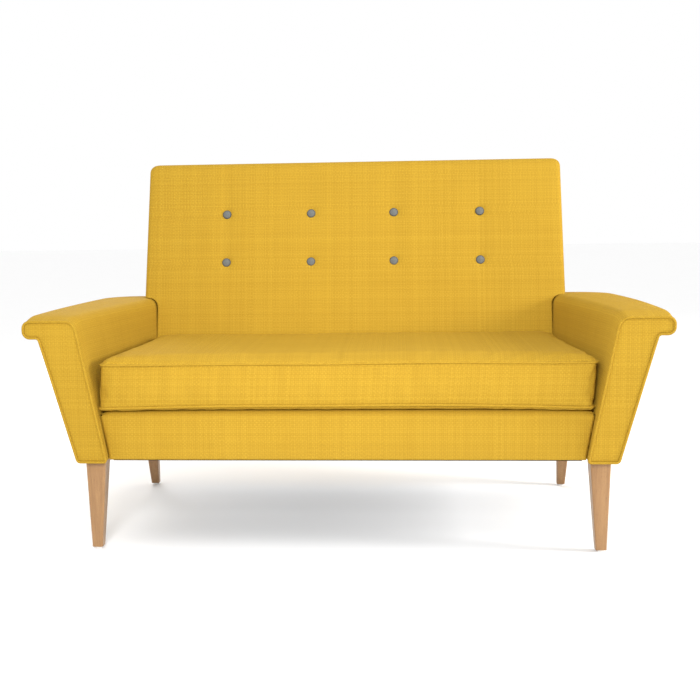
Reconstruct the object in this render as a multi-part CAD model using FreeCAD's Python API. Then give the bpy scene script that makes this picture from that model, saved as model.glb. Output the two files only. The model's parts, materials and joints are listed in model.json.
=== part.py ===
import FreeCAD, Part
import math
import os

# Two-seat upholstered sofa with flared, rolled-lip arms, a raked buttoned back, one loose seat
# cushion and four tapered wooden legs. Millimetres. +Z is up, the front faces -Y, and +X runs to
# the right of a person who looks at the front. The origin is on the floor, under the middle of
# the sofa's box. A depth d is measured backwards from the faces of the arms.

Vec = FreeCAD.Vector

# ---------------------------------------------------------------- driving dimensions
OVERALL_WIDTH = 1480.0
OVERALL_DEPTH = 780.0
OVERALL_HEIGHT = 933.0
FRONT_Y = -OVERALL_DEPTH / 2.0

FABRIC = 3.0                 # cover cloth with its wadding
PIPING = 2.5                 # how far a piping stands proud of the cover
UNDERSIDE_Z = 217.0          # underside of the upholstered body
RAIL_FOOT_Z = UNDERSIDE_Z + FABRIC
SIDES = (("left", -1.0), ("right", 1.0))

# arm section at the front, seen from the front, and how it changes towards the back
ARM_INNER_FOOT_X = 553.5
ARM_INNER_TOP_X = 618.5
ARM_OUTER_FOOT_X = 619.5
ARM_NECK_X = 699.5
ARM_LIP_X = OVERALL_WIDTH / 2.0 - PIPING
ARM_LIP_UNDER_Z = 508.5
ARM_TOP_FRONT_Z = 546.5
ARM_TOP_REAR_Z = 557.0
ARM_TOP_RISE_DEPTH = 55.0    # the padded top rises to its full height over this depth
ARM_LIP_RADIUS = 18.5
ARM_CORNER_RADIUS = 16.0
ARM_INNER_REAR_X = 551.5     # where the arm's inside meets the back
ARM_SIDE_TAPER = 17.0        # the lip comes in by this much from front to back
ARM_MEETS_BACK = 560.0       # depth at which the inside stops twisting
ARM_END = 721.0              # depth of the arm's rear end, at the height of its top
ARM_CORNER_START = 611.0     # depth at which the rear corner starts to turn in
ARM_CORNER_X = 600.0         # the line that the rear corner turns in towards
ARM_BOARD_INSET = 13.0
ARM_BOARD = 18.0
ARM_FOAM = 22.0
ARM_TOP_RAIL_X = 622.0
ARM_TOP_RAIL_Z = 508.0
ARM_TOP_RAIL = 16.0
ARM_TOP_RAIL_WIDTH = 30.0

# back
BACK_HALF_WIDTH = 584.0          # just above the arms
BACK_TOP_HALF_WIDTH = 578.0
BACK_TUCK_HALF_WIDTH = 549.0     # between the arms
BACK_FRONT_DEPTH = 560.0         # depth of the front face at BACK_REF_Z
BACK_REF_Z = 440.0
BACK_FRONT_RAKE = 0.26
BACK_REAR_DEPTH = 668.0          # depth of the rear face at the underside
BACK_TOP_RADIUS = 22.0
BACK_FOOT_Z = 336.0
BACK_STEP_Z = 559.0              # the wide part of the back starts just above the arms
BACK_REAR_RAKE = (OVERALL_DEPTH - BACK_REAR_DEPTH) / (OVERALL_HEIGHT - UNDERSIDE_Z)
UPRIGHT = 40.0
UPRIGHT_WIDTH = 30.0
UPRIGHT_TOP_Z = OVERALL_HEIGHT - 17.0
BACK_RAIL = 22.0
BACK_RAIL_HEIGHT = 50.0
LOWER_RAIL_Z = 372.0             # middle of the lower rail
UPRIGHT_X = 545.0
STRAP_PLANE = 45.0               # the webbing lies this far in front of the rear face
STRAP = 2.0
STRAP_WIDTH = 50.0
STRAP_LAP = 0.2                  # between the level straps and the upright ones
STRAP_ROWS = 5
STRAP_ROW_SPACING = 90.0
FIRST_STRAP_Z = 440.0
BUTTON_COLUMNS = (-355.0, -116.0, 116.0, 355.0)
BUTTON_ROWS = (656.0, 790.0)
BUTTON_RADIUS = 12.0
BUTTON_POCKET_RADIUS = 13.0
BUTTON_POCKET_DEPTH = 5.0
BUTTON_DOME = 5.0
BUTTON_RIM = 3.0
TWINE_RADIUS = 1.5
TOGGLE_RADIUS = 7.0
TOGGLE = 5.0

# seat base
FRONT_RAIL_DEPTH = 40.0
RAIL = 28.0
RAIL_TOP_Z = 312.0
REAR_RAIL_DEPTH = 594.0
SIDE_RAIL_X = 571.0
SIDE_RAIL = 36.0
SIDE_RAIL_TOP_Z = 280.0
STRETCHER_WIDTH = 40.0
STRETCHER_HEIGHT = 40.0
CORNER_BLOCK = 70.0              # along each of its two glued sides
CORNER_BLOCK_HEIGHT = 55.0
BORDER_DEPTH = 28.0              # the front border stands back from the arm faces
BORDER_TOP_Z = 333.0
SPRING_COLUMNS = 7
SPRING_SPACING = 150.0
SPRING_WIRE_RADIUS = 1.9
SPRING_HALF_WIDTH = 25.0
SPRING_PITCH = 33.0
SPRING_LIFT = 0.6                # the wire's clearance over the rails
CLIP_HALF_LENGTH = 8.0
CLIP_HALF_WIDTH = 7.0
CLIP_HEIGHT = 6.5
DECK_FRONT_DEPTH = 76.0
DECK_REAR_DEPTH = 616.0
ARM_GAP = 1.5                    # between the arms and the border or deck
DECK_CLOTH = 2.0
DECK_FOOT_Z = 320.0
DECK_TOP_Z = 333.0
DUST_COVER = 1.0
DUST_COVER_MARGIN = 8.0

# seat cushion
CUSHION_FOOT_Z = 334.0
CUSHION_EDGE_Z = 447.0
CUSHION_CROWN_Z = 464.0
CUSHION_FRONT_DEPTH = 22.0
CUSHION_FRONT_HALF = 570.0
CUSHION_REAR_HALF = 543.0
CUSHION_BACK_GAP = 8.0
CUSHION_CROWN_INSET = 90.0
CUSHION_SKIN = 2.5
TOP_PIPING_Z = 444.0
FOOT_PIPING_Z = 341.0
ZIP_Z = 392.0
ZIP_HALF_LENGTH = 430.0
ZIP_TAPE_HEIGHT = 24.0
ZIP_TAPE = 1.5
ZIP_GAP = 0.3                    # between the tape and the slider
SLIDER_HALF = 5.0
SLIDER = 3.0
SLIDER_END_GAP = 12.0            # from the tape's end to the closed slider's middle
PULL_LENGTH = 26.0
PULL_HALF_HEIGHT = 3.5

# legs
FRONT_LEG_TOP_X = 584.5
REAR_LEG_TOP_X = 592.5
FRONT_LEG_TOP = 47.0
FRONT_LEG_FOOT = 25.0
REAR_LEG_TOP = 43.0
REAR_LEG_FOOT = 22.0
FRONT_LEG_DEPTH = 46.0
REAR_LEG_TOP_DEPTH = 632.0
REAR_LEG_FOOT_DEPTH = 688.0
FRONT_LEG_FOOT_X = 591.0
REAR_LEG_FOOT_X = 593.0
GLIDE = 5.0
GLIDE_RADIUS = 8.5
GLIDE_NAIL_RADIUS = 1.2
GLIDE_NAIL = 14.0
LEG_TOP_Z = UNDERSIDE_Z - 1.0
BOLT_RADIUS = 4.0
INSERT_RADIUS = 6.5
INSERT_HEIGHT = 26.0
BOLT_BELOW = 32.0                # how far the bolt reaches down into the leg
BOLT_ABOVE = 34.0
LEG_BEVEL = 2.5


# ---------------------------------------------------------------- small helpers
def box(x0, x1, d0, d1, z0, z1):
    """A block between two X values, two depths and two heights."""
    return Part.makeBox(x1 - x0, d1 - d0, z1 - z0, Vec(x0, FRONT_Y + d0, z0))


def upright_cylinder(x, d, z0, z1, radius):
    return Part.makeCylinder(radius, z1 - z0, Vec(x, FRONT_Y + d, z0))


def side_prism(outline, x0, x1):
    """A prism along X from an outline of (depth, height) points."""
    points = [Vec(x0, FRONT_Y + d, z) for d, z in outline]
    face = Part.Face(Part.makePolygon(points + points[:1]))
    return face.extrude(Vec(x1 - x0, 0, 0))


def mirrored(side, x0, x1):
    """The X span of a right-hand piece, turned to the side it belongs to."""
    return (x0, x1) if side > 0 else (-x1, -x0)


def loft(wires):
    return Part.makeLoft(wires, True, True)


def closed_wire(points):
    return Part.makePolygon(points + points[:1])


def group(shapes):
    return Part.makeCompound(shapes)


def save(name, shape):
    solids = shape.Solids
    if not solids or not all(solid.isValid() for solid in solids):
        raise ValueError("not a valid solid: " + name)
    shape = solids[0] if len(solids) == 1 else Part.makeCompound(solids)
    shape.exportStep("parts/" + name + ".step")
    print("%-22s solids %2d  volume %9.1f cm3" % (name, len(solids), shape.Volume / 1000.0))


# ---------------------------------------------------------------- planes of the back
def back_front_depth(z):
    return BACK_FRONT_DEPTH + BACK_FRONT_RAKE * (z - BACK_REF_Z)


def back_rear_depth(z):
    return BACK_REAR_DEPTH + BACK_REAR_RAKE * (z - UNDERSIDE_Z)


def strap_depth(z):
    return back_rear_depth(z) - STRAP_PLANE


def raked_slab(x0, x1, z0, z1, depth_of, near, far):
    """A slab between two heights that leans with depth_of, from near to far behind it."""
    outline = [(depth_of(z0) + near, z0), (depth_of(z0) + far, z0),
               (depth_of(z1) + far, z1), (depth_of(z1) + near, z1)]
    return side_prism(outline, x0, x1)


# ---------------------------------------------------------------- arm section
def rounded(corners, arc_steps=3):
    """Points of an outline whose corners (x, z, radius) are rounded by short chords."""
    points = []
    count = len(corners)
    for index, (x, z, radius) in enumerate(corners):
        before, after = corners[index - 1], corners[(index + 1) % count]
        to_before = Vec(before[0] - x, before[1] - z, 0).normalize()
        to_after = Vec(after[0] - x, after[1] - z, 0).normalize()
        half_angle = to_before.getAngle(to_after) / 2.0
        run = radius / math.tan(half_angle)
        middle = (to_before + to_after).normalize() * (radius / math.sin(half_angle))
        start = to_before * run - middle
        end = to_after * run - middle
        turn = start.getAngle(end)
        for step in range(arc_steps + 1):
            t = step / float(arc_steps)
            spoke = start * (math.sin((1 - t) * turn) / math.sin(turn))
            spoke = spoke + end * (math.sin(t * turn) / math.sin(turn))
            points.append((x + middle.x + spoke.x, z + middle.y + spoke.y))
    return points


def inset_corners(corners, inset):
    """Corners of the same outline moved inwards, each edge by the inset."""
    moved = []
    count = len(corners)
    for index, (x, z, radius) in enumerate(corners):
        before, after = corners[index - 1], corners[(index + 1) % count]
        along_in = Vec(x - before[0], z - before[1], 0).normalize()
        along_out = Vec(after[0] - x, after[1] - z, 0).normalize()
        turn = along_in.x * along_out.y - along_in.y * along_out.x
        shift_in = Vec(-along_in.y, along_in.x, 0) * inset
        shift_out = Vec(-along_out.y, along_out.x, 0) * inset
        reach = ((shift_out - shift_in).x * along_out.y - (shift_out - shift_in).y * along_out.x) / turn
        new_radius = radius - inset if turn > 0 else radius + inset
        moved.append((x + shift_in.x + along_in.x * reach, z + shift_in.y + along_in.y * reach,
                      max(new_radius, 1.5)))
    return moved


def arm_corners(depth):
    """The arm's outline at a depth, anticlockwise from its inner foot."""
    twist = min(depth / ARM_MEETS_BACK, 1.0)
    turned = max(depth - ARM_CORNER_START, 0.0) / (ARM_END + 3.0 - ARM_CORNER_START)
    pulled = 1.0 - math.sqrt(1.0 - turned * turned)
    taper = ARM_SIDE_TAPER * depth / ARM_END
    rise = min(depth / ARM_TOP_RISE_DEPTH, 1.0)
    top_z = ARM_TOP_FRONT_Z + (ARM_TOP_REAR_Z - ARM_TOP_FRONT_Z) * rise
    lip_x = ARM_LIP_X - taper
    neck_x = ARM_NECK_X - taper
    lip_x = lip_x + (ARM_CORNER_X - lip_x) * pulled
    neck_x = neck_x + (ARM_CORNER_X - neck_x) * pulled
    foot_x = ARM_OUTER_FOOT_X + (ARM_CORNER_X - ARM_OUTER_FOOT_X) * pulled
    lip_radius = min(ARM_LIP_RADIUS, 0.45 * (lip_x - neck_x))
    inner_top_x = ARM_INNER_TOP_X + (ARM_INNER_REAR_X - ARM_INNER_TOP_X) * twist
    inner_foot_x = ARM_INNER_FOOT_X + (ARM_INNER_REAR_X - ARM_INNER_FOOT_X) * twist
    neck_radius = min(8.0, 0.3 * (lip_x - neck_x))
    return [(inner_foot_x, UNDERSIDE_Z, 5.0), (foot_x, UNDERSIDE_Z, 10.0),
            (neck_x, ARM_LIP_UNDER_Z, neck_radius), (lip_x, ARM_LIP_UNDER_Z, lip_radius),
            (lip_x, top_z, lip_radius), (inner_top_x, top_z, ARM_CORNER_RADIUS)]


def arm_inner_x(depth, z):
    """Half width between the arms' inner faces at a depth and a height."""
    foot, top = arm_corners(depth)[0], arm_corners(depth)[-1]
    share = (z - foot[1]) / (top[1] - foot[1])
    return foot[0] + share * (top[0] - foot[0])


def between_arms(depths, gap, z0, z1):
    """A slab between two heights whose ends follow both arms' inner faces."""
    wires = []
    for z in (z0, z1):
        right = [Vec(arm_inner_x(depth, z) - gap, FRONT_Y + depth, z) for depth in depths]
        left = [Vec(-point.x, point.y, z) for point in reversed(right)]
        wires.append(closed_wire(right + left))
    return loft(wires)


def arm_wire(side, depth, corners):
    """An outline at a depth. It leans more and more, up to the rear face's rake."""
    lean = BACK_REAR_RAKE * depth / ARM_END
    points = []
    for x, z in rounded(corners):
        points.append(Vec(side * x, FRONT_Y + depth + lean * (z - ARM_TOP_REAR_Z), z))
    return closed_wire(points)


def arm_solid(side, depths, inset):
    """The arm, lip and all, moved inwards by the inset."""
    return loft([arm_wire(side, depth, inset_corners(arm_corners(depth), inset))
                 for depth in depths])


def arm_hollow(side, depths, inset):
    """The space inside the arm's walls, which doesn't reach into the lip."""
    wires = []
    for depth in depths:
        inner_foot, outer_foot, neck, lip, lip_top, inner_top = arm_corners(depth)
        top = (neck[0], inner_top[1], ARM_CORNER_RADIUS)
        corners = [inner_foot, outer_foot, top, inner_top]
        wires.append(arm_wire(side, depth, inset_corners(corners, inset)))
    return loft(wires)


def arm_lean_depth(depth, z):
    return depth + BACK_REAR_RAKE * depth / ARM_END * (z - ARM_TOP_REAR_Z)


# ---------------------------------------------------------------- hardwood frame
def make_side_rail(side):
    """Thick rail along the foot of the arm, which the two legs of that side screw into."""
    rear = REAR_BOARD_DEPTH
    outline = [(FRONT_BOARD_END, RAIL_FOOT_Z), (arm_lean_depth(rear, RAIL_FOOT_Z), RAIL_FOOT_Z),
               (arm_lean_depth(rear, SIDE_RAIL_TOP_Z), SIDE_RAIL_TOP_Z),
               (FRONT_BOARD_END, SIDE_RAIL_TOP_Z)]
    x0, x1 = mirrored(side, SIDE_RAIL_X, SIDE_RAIL_X + SIDE_RAIL)
    return side_prism(outline, x0, x1)


def make_arm_top_rail(side):
    """Board under the arm's top, from the front board to the rear board."""
    rear = REAR_BOARD_DEPTH
    z0, z1 = ARM_TOP_RAIL_Z, ARM_TOP_RAIL_Z + ARM_TOP_RAIL
    outline = [(FRONT_BOARD_END, z0), (arm_lean_depth(rear, z0), z0),
               (arm_lean_depth(rear, z1), z1), (FRONT_BOARD_END, z1)]
    x0, x1 = mirrored(side, ARM_TOP_RAIL_X, ARM_TOP_RAIL_X + ARM_TOP_RAIL_WIDTH)
    return side_prism(outline, x0, x1)


def make_corner_blocks():
    """Three-cornered glue blocks between the end rails and the side rails."""
    blocks = []
    for _, side in SIDES:
        for depth, way in ((FRONT_RAIL_DEPTH + RAIL, 1.0), (REAR_RAIL_DEPTH, -1.0)):
            corner = Vec(side * SIDE_RAIL_X, FRONT_Y + depth, RAIL_FOOT_Z)
            along_x = Vec(-side * CORNER_BLOCK, 0, 0)
            along_y = Vec(0, way * CORNER_BLOCK, 0)
            face = Part.Face(closed_wire([corner, corner + along_x, corner + along_y]))
            blocks.append(face.extrude(Vec(0, 0, CORNER_BLOCK_HEIGHT)))
    return group(blocks)


def make_upright(x0, x1, z0):
    return raked_slab(x0, x1, z0, UPRIGHT_TOP_Z, strap_depth, 0.0, UPRIGHT)


def make_back_rail(z0, z1, half):
    return raked_slab(-half, half, z0, z1, strap_depth, 0.0, BACK_RAIL)


# ---------------------------------------------------------------- suspension
def spring_wire_path(x):
    """Flat zigzag of straight runs joined by half circles, from the front to the rear rail."""
    start = FRONT_RAIL_DEPTH + RAIL / 2.0
    end = REAR_RAIL_DEPTH + RAIL / 2.0
    runs = int((end - start) / SPRING_PITCH)
    pitch = (end - start) / runs
    straight = SPRING_HALF_WIDTH - pitch / 2.0
    z = RAIL_TOP_Z + SPRING_WIRE_RADIUS + SPRING_LIFT
    edges = []
    for run in range(runs + 1):
        y = FRONT_Y + start + run * pitch
        way = 1.0 if run % 2 == 0 else -1.0
        here = Vec(x - way * straight, y, z)
        there = Vec(x + way * straight, y, z)
        edges.append(Part.LineSegment(here, there).toShape())
        if run < runs:
            bulge = Vec(x + way * (straight + pitch / 2.0), y + pitch / 2.0, z)
            landing = Vec(x + way * straight, y + pitch, z)
            edges.append(Part.Arc(there, bulge, landing).toShape())
    return Part.Wire(edges)


def make_springs():
    springs = []
    for column in range(SPRING_COLUMNS):
        x = (column - (SPRING_COLUMNS - 1) / 2.0) * SPRING_SPACING
        path = spring_wire_path(x)
        first = path.Edges[0]
        start = first.valueAt(first.FirstParameter)
        ring = Part.Wire(Part.makeCircle(SPRING_WIRE_RADIUS, start, Vec(1, 0, 0)))
        springs.append(path.makePipeShell([ring], True, False))
    return springs


def make_spring_clips(springs):
    """Folded clips that hold each spring's end runs on the rails."""
    clips = []
    for index, spring in enumerate(springs):
        x = (index - (SPRING_COLUMNS - 1) / 2.0) * SPRING_SPACING
        for depth in (FRONT_RAIL_DEPTH + RAIL / 2.0, REAR_RAIL_DEPTH + RAIL / 2.0):
            clip = box(x - CLIP_HALF_LENGTH, x + CLIP_HALF_LENGTH, depth - CLIP_HALF_WIDTH,
                       depth + CLIP_HALF_WIDTH, RAIL_TOP_Z, RAIL_TOP_Z + CLIP_HEIGHT)
            clips.append(clip.cut(spring))
    return group(clips)


def strap_heights():
    return [FIRST_STRAP_Z + STRAP_ROW_SPACING * step for step in range(STRAP_ROWS)]


def make_back_webbing(holes):
    """Level straps between the uprights, and one upright strap behind each button column."""
    straps = []
    for z in strap_heights():
        half = STRAP_WIDTH / 2.0
        straps.append(raked_slab(-UPRIGHT_X, UPRIGHT_X, z - half, z + half, strap_depth,
                                 -STRAP, 0.0))
    for x in BUTTON_COLUMNS:
        half = STRAP_WIDTH / 2.0
        straps.append(raked_slab(x - half, x + half, LOWER_RAIL_Z, UPRIGHT_TOP_Z, strap_depth,
                                 -2.0 * STRAP - STRAP_LAP, -STRAP - STRAP_LAP))
    return group([strap.cut(holes) for strap in straps])


# ---------------------------------------------------------------- back upholstery
def back_outline(inset, foot_z):
    """Front view of the back: wide above the arms, narrow between them."""
    wide = BACK_HALF_WIDTH - inset
    wide_top = BACK_TOP_HALF_WIDTH - inset
    narrow = BACK_TUCK_HALF_WIDTH - inset
    top = OVERALL_HEIGHT - inset
    corner = max(BACK_TOP_RADIUS - inset, 1.0)
    step = BACK_STEP_Z + inset
    right = [(narrow, foot_z, 1.0), (narrow, step, 2.0), (wide, step, 6.0), (wide_top, top, corner)]
    return right


def back_solid(inset, foot_z, near, far):
    """The back between its front plane moved by near and its rear plane moved by -far."""
    right = back_outline(inset, foot_z)
    left = [(-x, z, radius) for x, z, radius in reversed(right)]
    outline = [Vec(x, 0, z) for x, z in rounded(right + left)]
    plate = Part.Face(closed_wire(outline)).extrude(Vec(0, OVERALL_DEPTH, 0))
    z0, z1 = foot_z, OVERALL_HEIGHT
    wedge = side_prism([(back_front_depth(z0) + near, z0), (back_rear_depth(z0) - far, z0),
                        (back_rear_depth(z1) - far, z1), (back_front_depth(z1) + near, z1)],
                       -OVERALL_WIDTH / 2.0, OVERALL_WIDTH / 2.0)
    return plate.common(wedge)


def back_axis():
    """Direction that a button's axis points, out of the back's front face."""
    return Vec(0, -1.0, BACK_FRONT_RAKE).normalize()


def button_seats():
    """Points on the back's front face at the middle of each button."""
    seats = []
    for z in BUTTON_ROWS:
        for x in BUTTON_COLUMNS:
            seats.append(Vec(x, FRONT_Y + back_front_depth(z), z))
    return seats


def make_button(seat):
    """Covered button: a domed cap over a short rim, standing in its pocket."""
    out = back_axis()
    rim = Part.makeCylinder(BUTTON_RADIUS, BUTTON_RIM, seat - out * BUTTON_RIM, out)
    sphere_radius = (BUTTON_RADIUS ** 2 + BUTTON_DOME ** 2) / (2.0 * BUTTON_DOME)
    ball = Part.makeSphere(sphere_radius, seat - out * (sphere_radius - BUTTON_DOME))
    cap = ball.common(Part.makeCylinder(BUTTON_RADIUS, BUTTON_DOME + 1.0, seat, out))
    return rim.fuse(cap).removeSplitter()


def twine_run(seat):
    """Start point and length of a button's twine, which ends behind the webbing."""
    out = back_axis()
    start = seat - out * BUTTON_RIM
    z = seat.z
    length = (strap_depth(z) - back_front_depth(z) + STRAP) / math.sqrt(1 + BACK_FRONT_RAKE ** 2)
    return start, out * -1.0, length


# ---------------------------------------------------------------- seat upholstery
def cushion_outline(z, inset):
    """Plan of the cushion at a height: wider at the front, and clear of the raked back."""
    rear = back_front_depth(z) - CUSHION_BACK_GAP - inset
    front_half = CUSHION_FRONT_HALF - inset
    rear_half = CUSHION_REAR_HALF - inset
    front = CUSHION_FRONT_DEPTH + inset
    return [Vec(-front_half, FRONT_Y + front, z), Vec(front_half, FRONT_Y + front, z),
            Vec(rear_half, FRONT_Y + rear, z), Vec(-rear_half, FRONT_Y + rear, z)]


def cushion_solid(inset):
    """Boxed cushion body with a low crown on top."""
    foot = closed_wire(cushion_outline(CUSHION_FOOT_Z + inset, inset))
    edge = closed_wire(cushion_outline(CUSHION_EDGE_Z - inset, inset))
    crown_points = cushion_outline(CUSHION_EDGE_Z - inset, inset + CUSHION_CROWN_INSET)
    for point in crown_points:
        point.z = CUSHION_CROWN_Z - inset
    return loft([foot, edge]).fuse(loft([edge, closed_wire(crown_points)])).removeSplitter()


def piping_ring(z):
    """A welt round the cushion at a height, standing proud of the cover."""
    half = PIPING
    outer = [closed_wire(cushion_outline(level, -PIPING)) for level in (z - half, z + half)]
    inner = [closed_wire(cushion_outline(level, 0.0)) for level in (z - half, z + half)]
    return loft(outer).cut(loft(inner))


def make_zip_tape():
    """Zip along the middle of the cushion's rear border."""
    z0 = ZIP_Z - ZIP_TAPE_HEIGHT / 2.0
    z1 = ZIP_Z + ZIP_TAPE_HEIGHT / 2.0
    return raked_slab(-ZIP_HALF_LENGTH, ZIP_HALF_LENGTH, z0, z1, back_front_depth,
                      -CUSHION_BACK_GAP, -CUSHION_BACK_GAP + ZIP_TAPE)


def make_zip_slider():
    """Slider body and its pull, at the closed end of the zip."""
    x = -ZIP_HALF_LENGTH + SLIDER_END_GAP
    near = -CUSHION_BACK_GAP + ZIP_TAPE + ZIP_GAP
    body = raked_slab(x - SLIDER_HALF, x + SLIDER_HALF, ZIP_Z - SLIDER_HALF, ZIP_Z + SLIDER_HALF,
                      back_front_depth, near, near + SLIDER)
    pull = raked_slab(x, x + PULL_LENGTH, ZIP_Z - PULL_HALF_HEIGHT, ZIP_Z + PULL_HALF_HEIGHT,
                      back_front_depth, near + 0.3 * SLIDER, near + 0.8 * SLIDER)
    return body.fuse(pull).removeSplitter()


# ---------------------------------------------------------------- legs
def square_wire(x, d, z, size):
    half = size / 2.0
    corners = [(-half, -half), (half, -half), (half, half), (-half, half)]
    points = []
    for index, (cx, cy) in enumerate(corners):
        before, after = corners[index - 1], corners[(index + 1) % 4]
        for end in (before, after):
            length = abs(end[0] - cx) + abs(end[1] - cy)
            points.append(Vec(x + cx + (end[0] - cx) * LEG_BEVEL / length,
                              FRONT_Y + d + cy + (end[1] - cy) * LEG_BEVEL / length, z))
    return closed_wire(points)


def make_leg(top_x, top_depth, top_size, foot_x, foot_depth, foot_size):
    """Square tapered leg, lofted from its foot to its top."""
    top = square_wire(top_x, top_depth, LEG_TOP_Z, top_size)
    foot = square_wire(foot_x, foot_depth, GLIDE, foot_size)
    return loft([foot, top])


def leg_spots():
    """For each leg: its name, then X, depth and size of its top and of its foot."""
    spots = []
    for word, side in SIDES:
        spots.append(("front_leg_" + word, side * FRONT_LEG_TOP_X, FRONT_LEG_DEPTH, FRONT_LEG_TOP,
                      side * FRONT_LEG_FOOT_X, FRONT_LEG_DEPTH, FRONT_LEG_FOOT))
        spots.append(("rear_leg_" + word, side * REAR_LEG_TOP_X, REAR_LEG_TOP_DEPTH, REAR_LEG_TOP,
                      side * REAR_LEG_FOOT_X, REAR_LEG_FOOT_DEPTH, REAR_LEG_FOOT))
    return spots


# ---------------------------------------------------------------- derived places
FRONT_BOARD_END = ARM_BOARD_INSET + ARM_BOARD
REAR_BOARD_DEPTH = ARM_END - ARM_BOARD_INSET - ARM_BOARD
CAVITY_HALF_WIDTH = UPRIGHT_X + 1.0
ARM_DEPTHS = (FABRIC, ARM_TOP_RISE_DEPTH, ARM_MEETS_BACK, ARM_CORNER_START, 655.0, 688.0, 708.0,
              ARM_END)


def make_frame_pieces():
    """Every wooden piece of the frame, by name."""
    half = UPRIGHT_X
    seat_half = SIDE_RAIL_X
    between = half - UPRIGHT_WIDTH
    rail_half = BACK_RAIL_HEIGHT / 2.0
    stretcher_half = STRETCHER_WIDTH / 2.0
    centre_half = UPRIGHT_WIDTH / 2.0
    pieces = {
        "front_rail": box(-seat_half, seat_half, FRONT_RAIL_DEPTH, FRONT_RAIL_DEPTH + RAIL,
                          RAIL_FOOT_Z, RAIL_TOP_Z),
        "rear_rail": box(-seat_half, seat_half, REAR_RAIL_DEPTH, REAR_RAIL_DEPTH + RAIL,
                         RAIL_FOOT_Z, RAIL_TOP_Z),
        "seat_stretcher": box(-stretcher_half, stretcher_half, FRONT_RAIL_DEPTH + RAIL,
                              REAR_RAIL_DEPTH, RAIL_FOOT_Z, RAIL_FOOT_Z + STRETCHER_HEIGHT),
        "corner_blocks": make_corner_blocks(),
        "back_upright_left": make_upright(-half, -between, RAIL_FOOT_Z),
        "back_upright_right": make_upright(between, half, RAIL_FOOT_Z),
        "back_lower_rail": make_back_rail(LOWER_RAIL_Z - rail_half, LOWER_RAIL_Z + rail_half,
                                          between),
        "back_top_rail": make_back_rail(UPRIGHT_TOP_Z - BACK_RAIL_HEIGHT, UPRIGHT_TOP_Z, between),
        "back_centre_upright": raked_slab(-centre_half, centre_half, LOWER_RAIL_Z + rail_half,
                                          UPRIGHT_TOP_Z - BACK_RAIL_HEIGHT, strap_depth, 0.0,
                                          BACK_RAIL),
    }
    for word, side in SIDES:
        pieces["side_rail_" + word] = make_side_rail(side)
        pieces["arm_top_rail_" + word] = make_arm_top_rail(side)
        pieces["arm_front_board_" + word] = arm_solid(
            side, (ARM_BOARD_INSET, FRONT_BOARD_END), ARM_BOARD_INSET)
        pieces["arm_rear_board_" + word] = arm_solid(
            side, (REAR_BOARD_DEPTH, REAR_BOARD_DEPTH + ARM_BOARD), ARM_BOARD_INSET)
    return pieces


def make_leg_pieces():
    """Legs, glides, bolts and the threaded inserts that take the bolts."""
    pieces = {}
    glides, bolts, inserts, cores = [], [], [], []
    for name, top_x, top_depth, top_size, foot_x, foot_depth, foot_size in leg_spots():
        bolt = upright_cylinder(top_x, top_depth, LEG_TOP_Z - BOLT_BELOW, LEG_TOP_Z + BOLT_ABOVE,
                                BOLT_RADIUS)
        sleeve = upright_cylinder(top_x, top_depth, RAIL_FOOT_Z, RAIL_FOOT_Z + INSERT_HEIGHT,
                                  INSERT_RADIUS)
        foot = upright_cylinder(foot_x, foot_depth, 0.0, GLIDE, GLIDE_RADIUS)
        nail = upright_cylinder(foot_x, foot_depth, GLIDE, GLIDE + GLIDE_NAIL, GLIDE_NAIL_RADIUS)
        leg = make_leg(top_x, top_depth, top_size, foot_x, foot_depth, foot_size)
        pieces[name] = leg.cut([bolt, nail])
        glides.append(foot.fuse(nail).removeSplitter())
        bolts.append(bolt)
        inserts.append(sleeve.cut(bolt))
        cores.append(sleeve)
    pieces["glides"] = group(glides)
    pieces["leg_bolts"] = group(bolts)
    pieces["leg_inserts"] = group(inserts)
    return pieces, bolts, cores


def make_arm_pieces(frame):
    """Foam, cover, facing and piping of each arm, cut clear of the wood they wrap."""
    pieces = {}
    crossing = [frame["front_rail"], frame["rear_rail"], frame["corner_blocks"]]
    for word, side in SIDES:
        outer = arm_solid(side, ARM_DEPTHS, 0.0)
        inner = arm_solid(side, ARM_DEPTHS[:-1] + (ARM_END - FABRIC,), FABRIC)
        hollow = arm_hollow(side, (FRONT_BOARD_END, ARM_MEETS_BACK, ARM_CORNER_START, 650.0,
                                   REAR_BOARD_DEPTH), ARM_FOAM + FABRIC)
        facing = arm_solid(side, (0.0, FABRIC), 0.0)
        welt = arm_solid(side, (FABRIC, FABRIC + 2.0 * PIPING), -PIPING).cut(outer)
        wood = [frame[key + word] for key in ("side_rail_", "arm_top_rail_", "arm_front_board_",
                                              "arm_rear_board_")]
        foot = box(-800.0, 800.0, -10.0, 800.0, UNDERSIDE_Z - 10.0, SIDE_RAIL_TOP_Z)
        pieces["arm_cover_" + word] = outer.cut([inner] + crossing)
        pieces["arm_foam_" + word] = inner.cut([hollow, foot] + wood + crossing)
        pieces["arm_facing_" + word] = facing
        pieces["arm_piping_" + word] = welt
    return pieces


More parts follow.
